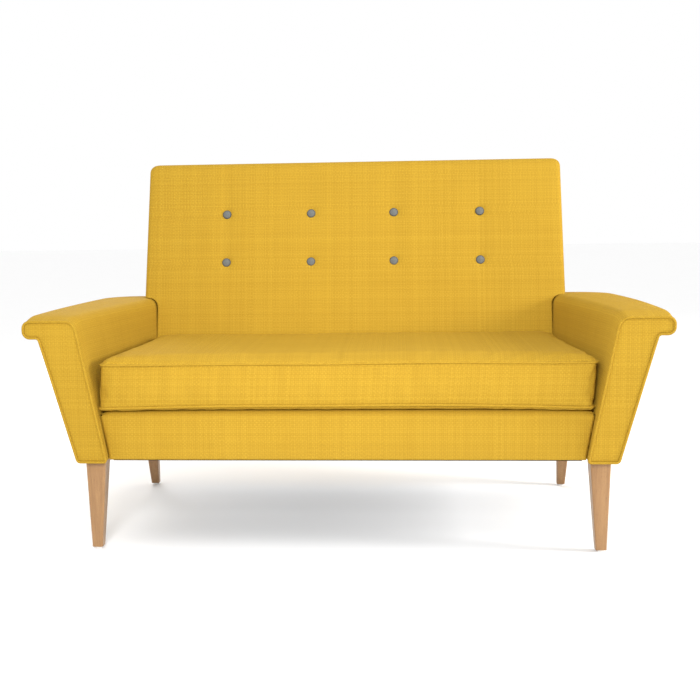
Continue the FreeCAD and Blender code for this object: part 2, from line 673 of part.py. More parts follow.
def make_back_pieces():
    """Foam, covers, webbing, buttons, twines and toggles of the back."""
    out = back_axis()
    buttons, twines, toggles, pockets, channels = [], [], [], [], []
    for seat in button_seats():
        buttons.append(make_button(seat))
        start, way, length = twine_run(seat)
        twines.append(Part.makeCylinder(TWINE_RADIUS, length, start, way))
        channels.append(Part.makeCylinder(TWINE_RADIUS, length + 1.0, start + out, way))
        pockets.append(Part.makeCylinder(BUTTON_POCKET_RADIUS, BUTTON_POCKET_DEPTH + 20.0,
                                         seat - out * BUTTON_POCKET_DEPTH, out))
        tail = start + way * length
        toggles.append(Part.makeCylinder(TOGGLE_RADIUS, TOGGLE, tail, way))
    rail_zone = raked_slab(-CAVITY_HALF_WIDTH, CAVITY_HALF_WIDTH, BACK_FOOT_Z - 5.0,
                           UPRIGHT_TOP_Z + 0.5, strap_depth, -2.0 * STRAP - 0.5, 200.0)
    core = back_solid(FABRIC, BACK_FOOT_Z, FABRIC, FABRIC)
    shell = back_solid(0.0, BACK_FOOT_Z, 0.0, FABRIC)
    whole = back_solid(0.0, UNDERSIDE_Z, 0.0, 0.0)
    rear_skin = raked_slab(-OVERALL_WIDTH, OVERALL_WIDTH, UNDERSIDE_Z, OVERALL_HEIGHT,
                           back_rear_depth, -FABRIC, 50.0)
    return {
        "back_foam": core.cut([rail_zone] + pockets + channels),
        "inside_back_cover": shell.cut([core] + pockets),
        "outside_back_panel": whole.common(rear_skin),
        "back_webbing": make_back_webbing(channels),
        "back_buttons": group(buttons),
        "button_twines": group(twines),
        "button_toggles": group(toggles),
    }


def make_seat_pieces():
    """Springs and clips, deck, front border and the cloth under the sofa."""
    springs = make_springs()
    deck_depths = (DECK_FRONT_DEPTH, ARM_MEETS_BACK, DECK_REAR_DEPTH)
    border_back = BORDER_DEPTH + FABRIC
    border_front = between_arms((BORDER_DEPTH, border_back), ARM_GAP, UNDERSIDE_Z, BORDER_TOP_Z)
    border_top = between_arms((BORDER_DEPTH, DECK_FRONT_DEPTH - 1.0), ARM_GAP,
                              BORDER_TOP_Z - FABRIC, BORDER_TOP_Z)
    border_pad = between_arms((border_back, FRONT_RAIL_DEPTH), ARM_GAP + FABRIC,
                              RAIL_FOOT_Z, BORDER_TOP_Z - FABRIC)
    dust_half = ARM_INNER_REAR_X - DUST_COVER_MARGIN
    dust = box(-dust_half, dust_half, BORDER_DEPTH + FABRIC, BACK_REAR_DEPTH - DUST_COVER_MARGIN,
               UNDERSIDE_Z - DUST_COVER, UNDERSIDE_Z)
    return {
        "seat_springs": group(springs),
        "spring_clips": make_spring_clips(springs),
        "platform_pad": between_arms(deck_depths, ARM_GAP, DECK_FOOT_Z, DECK_TOP_Z - DECK_CLOTH),
        "platform_cloth": between_arms(deck_depths, ARM_GAP, DECK_TOP_Z - DECK_CLOTH, DECK_TOP_Z),
        "front_border_pad": border_pad,
        "front_border_cover": border_front.fuse(border_top).removeSplitter(),
        "dust_cover": dust,
    }


def make_cushion_pieces():
    """Foam, cover, both pipings and the zip of the loose cushion."""
    cover = cushion_solid(0.0)
    core = cushion_solid(CUSHION_SKIN)
    return {
        "cushion_foam": core,
        "cushion_cover": cover.cut(core),
        "cushion_piping_top": piping_ring(TOP_PIPING_Z),
        "cushion_piping_foot": piping_ring(FOOT_PIPING_Z),
        "cushion_zip_tape": make_zip_tape(),
        "zip_slider": make_zip_slider(),
    }


def build():
    os.makedirs("parts", exist_ok=True)
    frame = make_frame_pieces()
    legs, bolts, cores = make_leg_pieces()
    arms = make_arm_pieces(frame)
    seat = make_seat_pieces()
    for name in list(frame):
        if name.startswith("side_rail_"):
            frame[name] = frame[name].cut(cores + bolts)
    for name in list(arms):
        if name.startswith("arm_cover_"):
            arms[name] = arms[name].cut(bolts)
    for pieces in (frame, legs, arms, make_back_pieces(), seat, make_cushion_pieces()):
        for name, shape in pieces.items():
            save(name, shape)


build()
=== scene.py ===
"""Finishes a two-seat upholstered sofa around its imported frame: cloth, piping, buttons and wood.

Every length is in metres. The front faces -Y, +Z is up, and a depth is measured backwards from
the plane of the arm facings.
"""

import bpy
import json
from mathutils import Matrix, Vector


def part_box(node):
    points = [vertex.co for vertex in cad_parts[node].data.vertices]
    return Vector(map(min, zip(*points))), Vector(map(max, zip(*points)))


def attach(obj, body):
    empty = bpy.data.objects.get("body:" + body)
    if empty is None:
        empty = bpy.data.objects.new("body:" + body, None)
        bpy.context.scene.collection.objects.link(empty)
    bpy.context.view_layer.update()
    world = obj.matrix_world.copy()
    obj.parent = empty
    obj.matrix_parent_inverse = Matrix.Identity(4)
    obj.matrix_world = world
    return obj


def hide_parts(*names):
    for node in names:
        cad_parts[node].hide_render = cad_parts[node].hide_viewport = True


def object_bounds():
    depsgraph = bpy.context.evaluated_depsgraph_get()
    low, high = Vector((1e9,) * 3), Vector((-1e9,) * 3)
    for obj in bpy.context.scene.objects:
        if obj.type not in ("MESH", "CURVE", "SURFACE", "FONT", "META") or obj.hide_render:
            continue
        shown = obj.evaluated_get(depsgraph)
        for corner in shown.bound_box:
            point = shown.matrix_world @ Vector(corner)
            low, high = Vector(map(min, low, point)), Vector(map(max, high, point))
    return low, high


bl_info = {
    "name": "Sofa with Wooden Legs",
    "version": (1, 0, 0),
    "blender": (4, 5, 0),
    "location": "3D View > Sidebar > Sofa",
    "description": "Upholstery, piping, buttons and wood finishes for a two-seat sofa",
    "category": "Object",
}

import json
import math

import bmesh
import bpy
import numpy as np
from bpy.props import FloatProperty, FloatVectorProperty, PointerProperty
from mathutils import Matrix, Vector

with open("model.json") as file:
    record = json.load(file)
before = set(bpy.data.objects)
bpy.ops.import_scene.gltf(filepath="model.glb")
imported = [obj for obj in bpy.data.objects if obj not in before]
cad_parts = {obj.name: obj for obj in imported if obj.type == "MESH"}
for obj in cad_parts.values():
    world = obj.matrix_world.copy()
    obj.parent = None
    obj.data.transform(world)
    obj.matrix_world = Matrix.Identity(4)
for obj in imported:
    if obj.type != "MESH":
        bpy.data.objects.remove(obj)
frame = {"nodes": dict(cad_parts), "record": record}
CAD_LOW, CAD_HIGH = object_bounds()

MM = 0.001
UP = np.array([0.0, 0.0, 1.0])
SIDES = (("left", -1.0), ("right", 1.0))

# planes and heights read from the frame
FRONT = CAD_LOW.y
TOP = CAD_HIGH.z
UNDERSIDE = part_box("arm_cover_right")[0].z
BACK_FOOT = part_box("inside_back_cover")[0].z
CUSHION_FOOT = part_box("cushion_cover")[0].z
PAD_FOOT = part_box("platform_pad")[0].z
BORDER_LOW, BORDER_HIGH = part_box("front_border_cover")
DECK_LOW, DECK_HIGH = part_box("platform_cloth")
DUST_LOW, DUST_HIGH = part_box("dust_cover")
SPRINGS_LOW, SPRINGS_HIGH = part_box("seat_springs")
ZIP_LOW, ZIP_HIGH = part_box("cushion_zip_tape")
DEPTH = CAD_HIGH.y - CAD_LOW.y

# arm section: corners of its outline at the front, and how it changes towards the back
ARM_INNER_FOOT = 0.5535
ARM_INNER_TOP = 0.6185
ARM_OUTER_FOOT = 0.6215
ARM_NECK = 0.7020
ARM_LIP = CAD_HIGH.x - 2.5 * MM
ARM_LIP_UNDER = 0.5085
ARM_TOP_FRONT = 0.5465
ARM_TOP = 0.557
ARM_RISE = 0.055
ARM_INNER_REAR = 0.5515
ARM_TAPER = 0.017
ARM_MEETS_BACK = 0.560
ARM_END = 0.721
ARM_CORNER_START = 0.611
ARM_CORNER_X = 0.600
ARM_STAR_X = 0.660              # a point that sees the whole of the arm's front outline
ARM_STAR_Z = 0.525
ARM_REAR_STAR_X = 0.588         # and one that sees the whole of its rear outline
ARM_REAR_STAR_Z = ARM_TOP - 27 * MM
ARM_TOP_ROLL = 14 * MM          # round of the top's rear end
ARM_PAD_FADE = 0.08             # the padding fades out over this length at each end
ARM_FULLNESS = {-1.0: 0.5, 1.0: 1.1}  # the right arm is stuffed fuller than the left
ARC_POINTS = 9                        # points along each rounded corner of an outline
ARM_RUNS = (8, 40, 5, 2, 16, 44)      # points along foot, outside, under-lip, lip, top, inside
INNER_EDGE = 5 * ARC_POINTS + sum(ARM_RUNS[:5]) + ARC_POINTS // 2

# the back's two faces lean at their own rates
BACK_FRONT_DEPTH = 0.560
BACK_REF_Z = 0.440
BACK_FRONT_RAKE = 0.26
BACK_REAR_DEPTH = 0.668
BACK_REAR_RAKE = (DEPTH - BACK_REAR_DEPTH) / (TOP - UNDERSIDE)
BACK_TUCK = 0.549               # half width between the arms
BACK_WIDE = 0.586               # half width just above the arms
BACK_WIDE_TOP = 0.580
BACK_STEP = 0.559               # height at which the back widens over the arms
BACK_EDGE = 26 * MM             # the round of the arm's inner edge, which it follows
BACK_CORNER = 0.022
BACK_ROLL = 13 * MM             # round of the top edge
BACK_RUNS = (230, 10, 60, 10)   # points along front, right side, rear, left side
PANEL_BEHIND = 3.4 * MM         # from the outside back's seam to the rear face
BUTTON_COLUMNS = (-0.355, -0.116, 0.116, 0.355)
BUTTON_ROWS = (0.656, 0.790)
BUTTON_RADIUS = 12 * MM

# seat cushion
CUSHION_FRONT_HALF = 0.570
CUSHION_REAR_HALF = 0.543
CUSHION_FRONT_DEPTH = 0.022
CUSHION_BACK_GAP = 0.010
CUSHION_SKEW = 0.007
CUSHION_CORNER = 16 * MM        # radius of its corners in plan
CUSHION_HALF_DEPTH = 0.27
CUSHION_SWELL = 32 * MM         # width of the round inside the top seam
CUSHION_ROLL = 18 * MM          # width of the round under the foot seam
CUSHION_ROLL_OUT = 4 * MM
CUSHION_COLUMNS = 116
CUSHION_ROWS = 56
BORDER_ROWS = 12
TOP_SEAM = 0.444
FOOT_SEAM = 0.343
FILL_STEPS = 20                 # steps of the cloth simulation
BORDER_FOOT = FOOT_SEAM + 5.7 * MM  # the part of the border that swells
BORDER_TOP = TOP_SEAM - 4 * MM
ZIP_GIVE = 2 * MM               # how far the border may swell beside the zip

# studio
CAMERA_PLACE = (0.1239, -2.8573, 0.7672)
CAMERA_TURN = (-4.2217, 7.4266, -0.8329)  # degrees to the left, down, and anticlockwise
CAMERA_LENS = 56.571
CAMERA_SHIFT = (0.04744, 0.02099)
FLOOR_HALF = 30.0


def back_front(z):
    """Depth of the back's front face at a height: a straight lean."""
    return BACK_FRONT_DEPTH + BACK_FRONT_RAKE * (z - BACK_REF_Z)


def back_rear(z):
    """Depth of the back's rear face at a height: a straight lean, steeper than the front's."""
    return BACK_REAR_DEPTH + BACK_REAR_RAKE * (z - UNDERSIDE)


# ---------------------------------------------------------------- sizes and colours
def length_property(label, words, value, low, high):
    """A length in the panel, whose value and limits are given here in millimetres."""
    return FloatProperty(name=label, description=words, default=value * MM, min=low * MM,
                         max=high * MM, unit="LENGTH")


class SofaSizes(bpy.types.PropertyGroup):
    thread: length_property("Thread pitch", "Spacing of the yarns in the cloth", 2.3, 0.5, 6)
    piping: length_property("Piping radius", "Radius of the self-piping", 3, 1, 6)
    arm_edge: length_property("Arm edge radius", "Roundness of its inner top edge", 26, 5, 40)
    arm_padding: length_property("Arm padding", "Swell of the arm's faces", 3, 0, 8)
    arm_crown: length_property("Arm crown", "Rise of the arm's top between its ends", 6, 0, 10)
    facing_padding: length_property("Facing padding", "Swell of the arm facings", 2.5, 0, 6)
    back_padding: length_property("Back padding", "Swell of the back's front face", 4, 0, 6)
    button_pull: length_property("Button pull", "How deep the buttons are drawn in", 8, 0, 12)
    cushion_crown: length_property("Cushion crown", "Rise of its top before filling", 16, 0, 40)
    cushion_give: length_property("Cushion give", "The most that filling moves it", 6, 5, 30)
    border_give: length_property("Border give", "The most that its border swells", 8, 0, 12)


def scaled(colour, factor):
    """A colour made darker or lighter, and no brighter than white."""
    return tuple(min(1.0, factor * part) for part in colour)


def colour_property(label, words, value):
    return FloatVectorProperty(name=label, description=words, default=value, size=3, min=0.0,
                               max=1.0, subtype="COLOR")


class SofaColours(bpy.types.PropertyGroup):
    cloth: colour_property("Cloth", "Main yarn of the yellow cloth", (0.37, 0.208, 0.016))
    cloth_light: colour_property("Light yarn", "Lighter yarn of the cloth", (0.52, 0.322, 0.030))
    button: colour_property("Button cloth", "Grey cloth on the buttons", (0.12, 0.125, 0.12))
    leg_wood: colour_property("Leg wood", "Light bands of the legs", (0.33, 0.177, 0.066))
    leg_grain: colour_property("Leg grain", "Dark bands of the legs", (0.185, 0.086, 0.026))
    frame_wood: colour_property("Frame wood", "Sawn wood of the hidden frame", (0.55, 0.36, 0.18))
    lining: colour_property("Lining", "Black lining cloth", (0.012, 0.012, 0.013))
    webbing: colour_property("Webbing", "Woven straps in the back", (0.30, 0.20, 0.10))
    steel: colour_property("Steel", "Springs, clips and bolts", (0.45, 0.45, 0.46))
    nylon: colour_property("Nylon", "Glides under the legs", (0.80, 0.80, 0.78))


# ---------------------------------------------------------------- mesh helpers
def new_piece(name, patches, material, body="frame", stands_for=()):
    """Joins grids of points into one mesh with a cloth map, welds them and turns faces out.

    patches is a list of (points, map) arrays of shapes (rows, columns, 3) and (rows, columns, 2).
    """
    points, maps, quads = [], [], []
    first = 0
    for grid, cloth_map in patches:
        rows, columns = grid.shape[:2]
        index = np.arange(rows * columns).reshape(rows, columns) + first
        quads.append(np.stack([index[:-1, :-1], index[:-1, 1:], index[1:, 1:], index[1:, :-1]],
                              axis=-1).reshape(-1, 4))
        points.append(grid.reshape(-1, 3))
        maps.append(cloth_map.reshape(-1, 2))
        first += rows * columns
    points = np.concatenate(points)
    maps = np.concatenate(maps)
    quads = np.concatenate(quads)
    mesh = bpy.data.meshes.new(name)
    mesh.from_pydata(points.tolist(), [], quads.tolist())
    layer = mesh.uv_layers.new(name="cloth")
    layer.data.foreach_set("uv", maps[quads.reshape(-1)].astype(np.float32).reshape(-1))
    weld(mesh)
    mesh.polygons.foreach_set("use_smooth", np.ones(len(mesh.polygons), dtype=bool))
    mesh.materials.append(material)
    piece = bpy.data.objects.new(name, mesh)
    bpy.context.scene.collection.objects.link(piece)
    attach(piece, body)
    if stands_for:
        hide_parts(*stands_for)
    return piece


def weld(mesh):
    """Merges points that coincide, drops collapsed faces and points the rest outwards."""
    work = bmesh.new()
    work.from_mesh(mesh)
    bmesh.ops.remove_doubles(work, verts=work.verts, dist=0.02 * MM)
    bmesh.ops.dissolve_degenerate(work, edges=work.edges, dist=0.01 * MM)
    bmesh.ops.recalc_face_normals(work, faces=work.faces)
    work.to_mesh(mesh)
    work.free()


def unit(vectors):
    """Vectors of the same directions and of length 1."""
    return vectors / np.linalg.norm(vectors, axis=-1, keepdims=True)


def corner_arc(before, corner, after, steps):
    """Points of the circular arc that rounds a corner and touches both of its edges."""
    here, radius = corner[:, :2], corner[:, 2:3]
    to_before = unit(before[:, :2] - here)
    to_after = unit(after[:, :2] - here)
    half = np.arccos(np.clip((to_before * to_after).sum(-1, keepdims=True), -1, 1)) / 2
    centre = unit(to_before + to_after) * radius / np.sin(half)
    start = (to_before * radius / np.tan(half) - centre)[:, None, :]
    end = (to_after * radius / np.tan(half) - centre)[:, None, :]
    turn = (np.pi - 2 * half)[:, None, :]
    t = np.linspace(0.0, 1.0, steps + 1)[None, :, None]
    spokes = (start * np.sin((1 - t) * turn) + end * np.sin(t * turn)) / np.sin(turn)
    return (here + centre)[:, None, :] + spokes


def straight_run(begin, finish, count, bulge):
    """Points between two ends, which swell outwards by bulge times 4 s (1 - s)."""
    s = np.linspace(0.0, 1.0, count + 2)[None, 1:-1, None]
    run = begin + (finish - begin) * s
    if bulge is not None:
        along = unit(finish - begin)
        outward = np.stack([along[..., 1], -along[..., 0]], axis=-1)
        run = run + outward * bulge[:, None, None] * 4 * s * (1 - s)
    return run


def rounded_loop(corners, arc_steps, run_steps, bulges=None):
    """Closed outlines from corners (row, corner, [a, b, radius]), anticlockwise.

    Each corner becomes an arc, and each run between two corners may bulge outwards. Returns
    points of shape (row, point, 2), whose last point repeats the first.
    """
    count = corners.shape[1]
    arcs = [corner_arc(corners[:, index - 1], corners[:, index],
                       corners[:, (index + 1) % count], arc_steps) for index in range(count)]
    parts = []
    for index, arc in enumerate(arcs):
        bulge = None if bulges is None else bulges[:, index]
        following = arcs[(index + 1) % count]
        parts += [arc, straight_run(arc[:, -1:], following[:, :1], run_steps[index], bulge)]
    parts.append(arcs[0][:, :1])
    return np.concatenate(parts, axis=1)


def inset_corners(corners, inset):
    """The same outline with every edge moved inwards, and each arc's radius changed to suit."""
    points = corners[:, :2]
    along = unit(np.roll(points, -1, axis=0) - points)
    before = np.roll(along, 1, axis=0)
    turn = before[:, 0] * along[:, 1] - before[:, 1] * along[:, 0]
    shift = (np.stack([-along[:, 1], along[:, 0]], -1)
             - np.stack([-before[:, 1], before[:, 0]], -1)) * inset
    reach = (shift[:, 0] * along[:, 1] - shift[:, 1] * along[:, 0]) / turn
    moved = points + np.stack([-before[:, 1], before[:, 0]], -1) * inset + before * reach[:, None]
    radius = np.maximum(corners[:, 2] - np.sign(turn) * inset, 1.0 * MM)
    return np.concatenate([moved, radius[:, None]], axis=1)


def lengths_along(points):
    """Distance travelled along each row of points, from its start."""
    steps = np.linalg.norm(np.diff(points, axis=1), axis=-1)
    return np.concatenate([np.zeros((len(points), 1)), np.cumsum(steps, axis=1)], axis=1)


def quarter_round(distance, radius):
    """Rises from 0 at an edge to 1 at one radius from it, as a quarter of a circle does."""
    return np.sqrt(1.0 - (1.0 - np.clip(distance / radius, 0.0, 1.0)) ** 2)


def star_cap(ring, centre):
    """Closes a ring of points with two rows of faces that meet at a centre."""
    cap = np.stack([ring, 0.5 * (ring + centre), 0 * ring + centre])
    return cap, cap[..., [0, 2]]


def two_sided(upper, lower, axes):
    """Two facing grids and the four strips that close their edges, mapped on two axes."""
    grids = [upper, lower]
    for edge in ((slice(None), 0), (slice(None), -1), (0, slice(None)), (-1, slice(None))):
        grids.append(np.stack([upper[edge], lower[edge]]))
    return [(grid, grid[..., axes]) for grid in grids]


def rings_round(path, side, other, radius, angle):
    """Circles round the points of a path: point + radius (cos a side + sin a other)."""
    ring = (side[:, None, :] * np.cos(angle)[None, :, None]
            + other[..., None, :] * np.sin(angle)[None, :, None])
    return path[:, None, :] + ring * radius


def loop_direction(path):
    """Unit direction at each point of a closed path, whose last point repeats the first."""
    along = unit(np.roll(path[:-1], -1, axis=0) - np.roll(path[:-1], 1, axis=0))
    return np.concatenate([along, along[:1]])


def tube(path, radius, up, sides=10):
    """A tube round a closed path, with its rings turned to the direction up."""
    along = loop_direction(path)
    side = unit(np.cross(along, np.asarray(up, float)[None, :]))
    angle = np.linspace(0.0, 2 * np.pi, sides + 1)
    grid = rings_round(path, side, np.cross(side, along), radius, angle)
    distance = lengths_along(path[None])[0]
    cloth_map = np.stack(np.broadcast_arrays(distance[:, None], (angle * radius)[None, :]), -1)
    return grid, cloth_map


def open_tube(path, radius, sides=8):
    """A tube with closed ends along an open path that lies level."""
    side = unit(np.cross(np.gradient(path, axis=0), UP))
    angle = np.linspace(0.0, 2 * np.pi, sides + 1)
    body = rings_round(path, side, UP[None], radius, angle)
    first = np.broadcast_to(path[0], body[0].shape)
    last = np.broadcast_to(path[-1], body[0].shape)
    grid = np.concatenate([first[None], body, last[None]])
    return grid, grid[..., :2]


def slow_wave(a, b, seed):
    """Gentle unevenness of stuffed cloth, from -1 to 1: a sum of three crossed sine waves."""
    return (np.sin(17.0 * a + 5.0 * b + seed) + np.sin(-9.0 * a + 13.0 * b + 2.1 * seed)
            + np.sin(31.0 * a - 21.0 * b + 3.7 * seed)) / 3.0


# ---------------------------------------------------------------- material helpers
class Shader:
    """A material's nodes, with short ways to add maths and noise."""

    def __init__(self, name):
        self.material = bpy.data.materials.new(name)
        self.material.use_nodes = True
        self.tree = self.material.node_tree
        self.tree.nodes.clear()
        output = self.tree.nodes.new("ShaderNodeOutputMaterial")
        self.surface = self.tree.nodes.new("ShaderNodeBsdfPrincipled")
        self.tree.links.new(self.surface.outputs["BSDF"], output.inputs["Surface"])

    def put(self, socket, value):
        """Links a socket, or sets a plain value."""
        if isinstance(value, bpy.types.NodeSocket):
            self.tree.links.new(value, socket)
        elif value is not None:
            socket.default_value = value

    def math(self, operation, a, b=None, c=None):
        """One step of arithmetic on numbers or sockets."""
        node = self.tree.nodes.new("ShaderNodeMath")
        node.operation = operation
        for socket, value in zip(node.inputs, (a, b, c)):
            self.put(socket, value)
        return node.outputs[0]

    def mix_colour(self, factor, a, b, blend="MIX"):
        node = self.tree.nodes.new("ShaderNodeMix")
        node.data_type = "RGBA"
        node.blend_type = blend
        self.put(node.inputs["Factor"], factor)
        for key, colour in (("A", a), ("B", b)):
            linked = isinstance(colour, bpy.types.NodeSocket)
            self.put(node.inputs[key], colour if linked else (*colour, 1.0))
        return node.outputs["Result"]

    def mix_value(self, factor, a, b):
        node = self.tree.nodes.new("ShaderNodeMix")
        node.data_type = "FLOAT"
        for key, value in (("Factor", factor), ("A", a), ("B", b)):
            self.put(node.inputs[key], value)
        return node.outputs["Result"]

    def place(self, scale=(1.0, 1.0, 1.0), turn=(0.0, 0.0, 0.0), cloth=False):
        """Object coordinates, or the piece's own cloth map, scaled and turned."""
        if cloth:
            source = self.tree.nodes.new("ShaderNodeUVMap")
            source.uv_map = "cloth"
            vector = source.outputs["UV"]
        else:
            source = self.tree.nodes.new("ShaderNodeTexCoord")
            vector = source.outputs["Object"]
        mapping = self.tree.nodes.new("ShaderNodeMapping")
        mapping.inputs["Rotation"].default_value = turn
        mapping.inputs["Scale"].default_value = scale
        self.put(mapping.inputs["Vector"], vector)
        return mapping.outputs["Vector"]

    def noise(self, vector, scale, detail=2.0, distortion=0.0):
        node = self.tree.nodes.new("ShaderNodeTexNoise")
        self.put(node.inputs["Vector"], vector)
        node.inputs["Scale"].default_value = scale
        node.inputs["Detail"].default_value = detail
        node.inputs["Distortion"].default_value = distortion
        return node.outputs["Fac"]

    def random(self, value):
        """A random number for each whole value."""
        node = self.tree.nodes.new("ShaderNodeTexWhiteNoise")
        node.noise_dimensions = "1D"
        self.put(node.inputs["W"], value)
        return node.outputs["Value"]

    def parts(self, vector):
        node = self.tree.nodes.new("ShaderNodeSeparateXYZ")
        self.put(node.inputs[0], vector)
        return node.outputs

    def bump(self, height, distance):
        node = self.tree.nodes.new("ShaderNodeBump")
        node.inputs["Distance"].default_value = distance
        node.inputs["Strength"].default_value = 1.0
        self.put(node.inputs["Height"], height)
        self.put(self.surface.inputs["Normal"], node.outputs["Normal"])

    def finish(self, **values):
        """Sets the surface's inputs, named with _ for each space, and returns the material."""
        for key, value in values.items():
            self.put(self.surface.inputs[key.replace("_", " ")], value)
        return self.material


def weave_nodes(shader, pitch, turn=0.0, on_node=False):
    """Basket weave of yarn pairs. Returns its height, and a random number for each yarn.

    Two warp yarns pass over two weft yarns, then under two. A yarn's height is a half sine
    across it, times a half sine along the float that shows. A piece without a cloth map of
    its own is woven in the plane of X and Z.
    """
    tilt = math.pi / 2 if on_node else 0.0
    vector = shader.place(scale=(1 / pitch,) * 3, turn=(tilt, 0.0, turn), cloth=not on_node)
    wander = shader.noise(shader.place(), 60.0, 1.0)
    across, along = shader.parts(vector)[:2]
    across = shader.math("MULTIPLY_ADD", wander, 0.9, across)
    along = shader.math("MULTIPLY_ADD", wander, -0.9, along)
    pairs = [shader.math("MULTIPLY", value, 0.5) for value in (across, along)]
    cells = [shader.math("FLOOR", value) for value in pairs]
    warp_on_top = shader.math("MODULO", shader.math("ADD", *cells), 2.0)
    warp_on_top = shader.math("ABSOLUTE", warp_on_top)
    heights, yarns = [], []
    for value, other in ((across, pairs[1]), (along, pairs[0])):
        ridge = shader.math("SINE", shader.math("MULTIPLY", shader.math("FRACT", value), math.pi))
        swell = shader.math("SINE", shader.math("MULTIPLY", shader.math("FRACT", other), math.pi))
        ridge = shader.math("POWER", ridge, 0.6)
        swell = shader.math("MULTIPLY_ADD", swell, 0.5, 0.5)
        heights.append(shader.math("MULTIPLY", ridge, swell))
        yarns.append(shader.random(shader.math("FLOOR", value)))
    height = shader.mix_value(warp_on_top, heights[1], heights[0])
    yarn = shader.mix_value(warp_on_top, yarns[1], yarns[0])
    return height, yarn


def painted_rim_shade(shader, rim):
    """Painted shade at a button's rim, where the dimple round it lies in shadow: a factor that
    falls from 1 at 0.7 of a radius to 0.4 at its rim, on the cloth map.
    """
    across, along = shader.parts(shader.place(cloth=True))[:2]
    square = shader.math("MULTIPLY_ADD", across, across, shader.math("MULTIPLY", along, along))
    radius = shader.math("DIVIDE", shader.math("SQRT", square), rim)
    outer = shader.math("MULTIPLY", shader.math("SUBTRACT", radius, 0.7), 2.0)
    outer = shader.math("MINIMUM", shader.math("MAXIMUM", outer, 0.0), 0.6)
    return shader.math("SUBTRACT", 1.0, outer)


def cloth_material(name, dark, light, pitch, turn=0.0, relief=0.5 * MM, sheen=0.15, rim=None,
                   on_node=False):
    """Woven upholstery cloth: two shades of yarn, fuzzy fibres and painted shadow between the
    yarns; with rim, painted shade towards a button's rim.
    """
    shader = Shader(name)
    height, yarn = weave_nodes(shader, pitch, turn, on_node)
    fibre = shader.noise(shader.place(), 2600.0, 3.0)
    patch = shader.noise(shader.place(), 9.0, 3.0)
    shade = shader.math("MULTIPLY_ADD", yarn, 0.45, shader.math("MULTIPLY", fibre, 0.55))
    shade = shader.math("MULTIPLY_ADD", patch, 0.25, shade)
    colour = shader.mix_colour(shader.math("SUBTRACT", shade, 0.12), dark, light)
    # painted shadow between the yarns: the colour darkens where the weave lies low
    painted_shade = shader.math("MULTIPLY_ADD", height, 0.52, 0.58)
    # painted shade at a button's rim, where the dimple round the button lies in shadow
    if rim:
        painted_shade = shader.math("MULTIPLY", painted_shade, painted_rim_shade(shader, rim))
    grey = shader.tree.nodes.new("ShaderNodeCombineColor")
    for socket in grey.inputs:
        shader.put(socket, painted_shade)
    colour = shader.mix_colour(1.0, colour, grey.outputs[0], "MULTIPLY")
    shader.bump(shader.math("MULTIPLY_ADD", fibre, 0.18, height), relief)
    rough = shader.math("MULTIPLY_ADD", fibre, 0.15, 0.80)
    return shader.finish(Base_Color=colour, Roughness=rough, Sheen_Weight=sheen,
                         Sheen_Roughness=0.45, Sheen_Tint=(*light, 1.0), Specular_IOR_Level=0.12)


def wood_material(name, light, dark, roughness, grain=1.0, coat=0.0):
    """Straight-grained wood whose grain runs along Z: bands, fine streaks and open pores."""
    shader = Shader(name)
    bands = shader.noise(shader.place(scale=(1.0, 1.0, 0.05)), 55.0 * grain, 4.0, 0.6)
    streaks = shader.noise(shader.place(scale=(1.0, 1.0, 0.02)), 420.0 * grain, 3.0)
    pores = shader.noise(shader.place(scale=(1.0, 1.0, 0.06)), 1500.0 * grain, 1.0)
    broad = shader.noise(shader.place(scale=(1.0, 1.0, 0.25)), 12.0, 2.0)
    mix = shader.math("MULTIPLY_ADD", bands, 1.5, shader.math("MULTIPLY", streaks, 0.9))
    mix = shader.math("MULTIPLY_ADD", broad, 0.5, mix)
    mix = shader.math("SUBTRACT", mix, 1.1)
    colour = shader.mix_colour(mix, light, dark)
    pore_mask = shader.math("GREATER_THAN", pores, 0.66)
    pore_mask = shader.math("MULTIPLY", pore_mask, 0.35)
    colour = shader.mix_colour(pore_mask, colour, scaled(dark, 0.45))
    height = shader.math("MULTIPLY_ADD", streaks, 0.5, shader.math("MULTIPLY", pore_mask, -1.0))
    shader.bump(height, 0.15 * MM)
    rough = shader.math("MULTIPLY_ADD", bands, 0.18, roughness - 0.09)
    return shader.finish(Base_Color=colour, Roughness=rough, Coat_Weight=coat,
                         Coat_Roughness=0.35)


def metal_material(name, colour, roughness):
    """Drawn or pressed metal: bright, with fine lines and dull spots."""
    shader = Shader(name)
    lines = shader.noise(shader.place(scale=(1.0, 1.0, 0.1)), 1800.0, 2.0)
    spots = shader.noise(shader.place(), 130.0, 3.0)
    tint = shader.mix_colour(spots, scaled(colour, 0.8), colour)
    rough = shader.math("MULTIPLY_ADD", spots, 0.25, roughness - 0.1)
    shader.bump(lines, 0.03 * MM)
    return shader.finish(Base_Color=tint, Roughness=rough, Metallic=1.0)


def plastic_material(name, colour, roughness):
    """Moulded plastic with a fine, slightly uneven skin."""
    shader = Shader(name)
    skin = shader.noise(shader.place(), 900.0, 2.0)
    broad = shader.noise(shader.place(), 70.0, 2.0)
    tint = shader.mix_colour(broad, scaled(colour, 0.88), colour)
    rough = shader.math("MULTIPLY_ADD", skin, 0.2, roughness - 0.1)
    shader.bump(skin, 0.04 * MM)
    return shader.finish(Base_Color=tint, Roughness=rough)


def lining_material(name, colour, pitch):
    """Thin plain lining cloth, matt, with a fine thread count."""
    light = tuple(min(1.0, 2.2 * part + 0.01) for part in colour)
    return cloth_material(name, colour, light, pitch, relief=0.15 * MM, sheen=0.1)


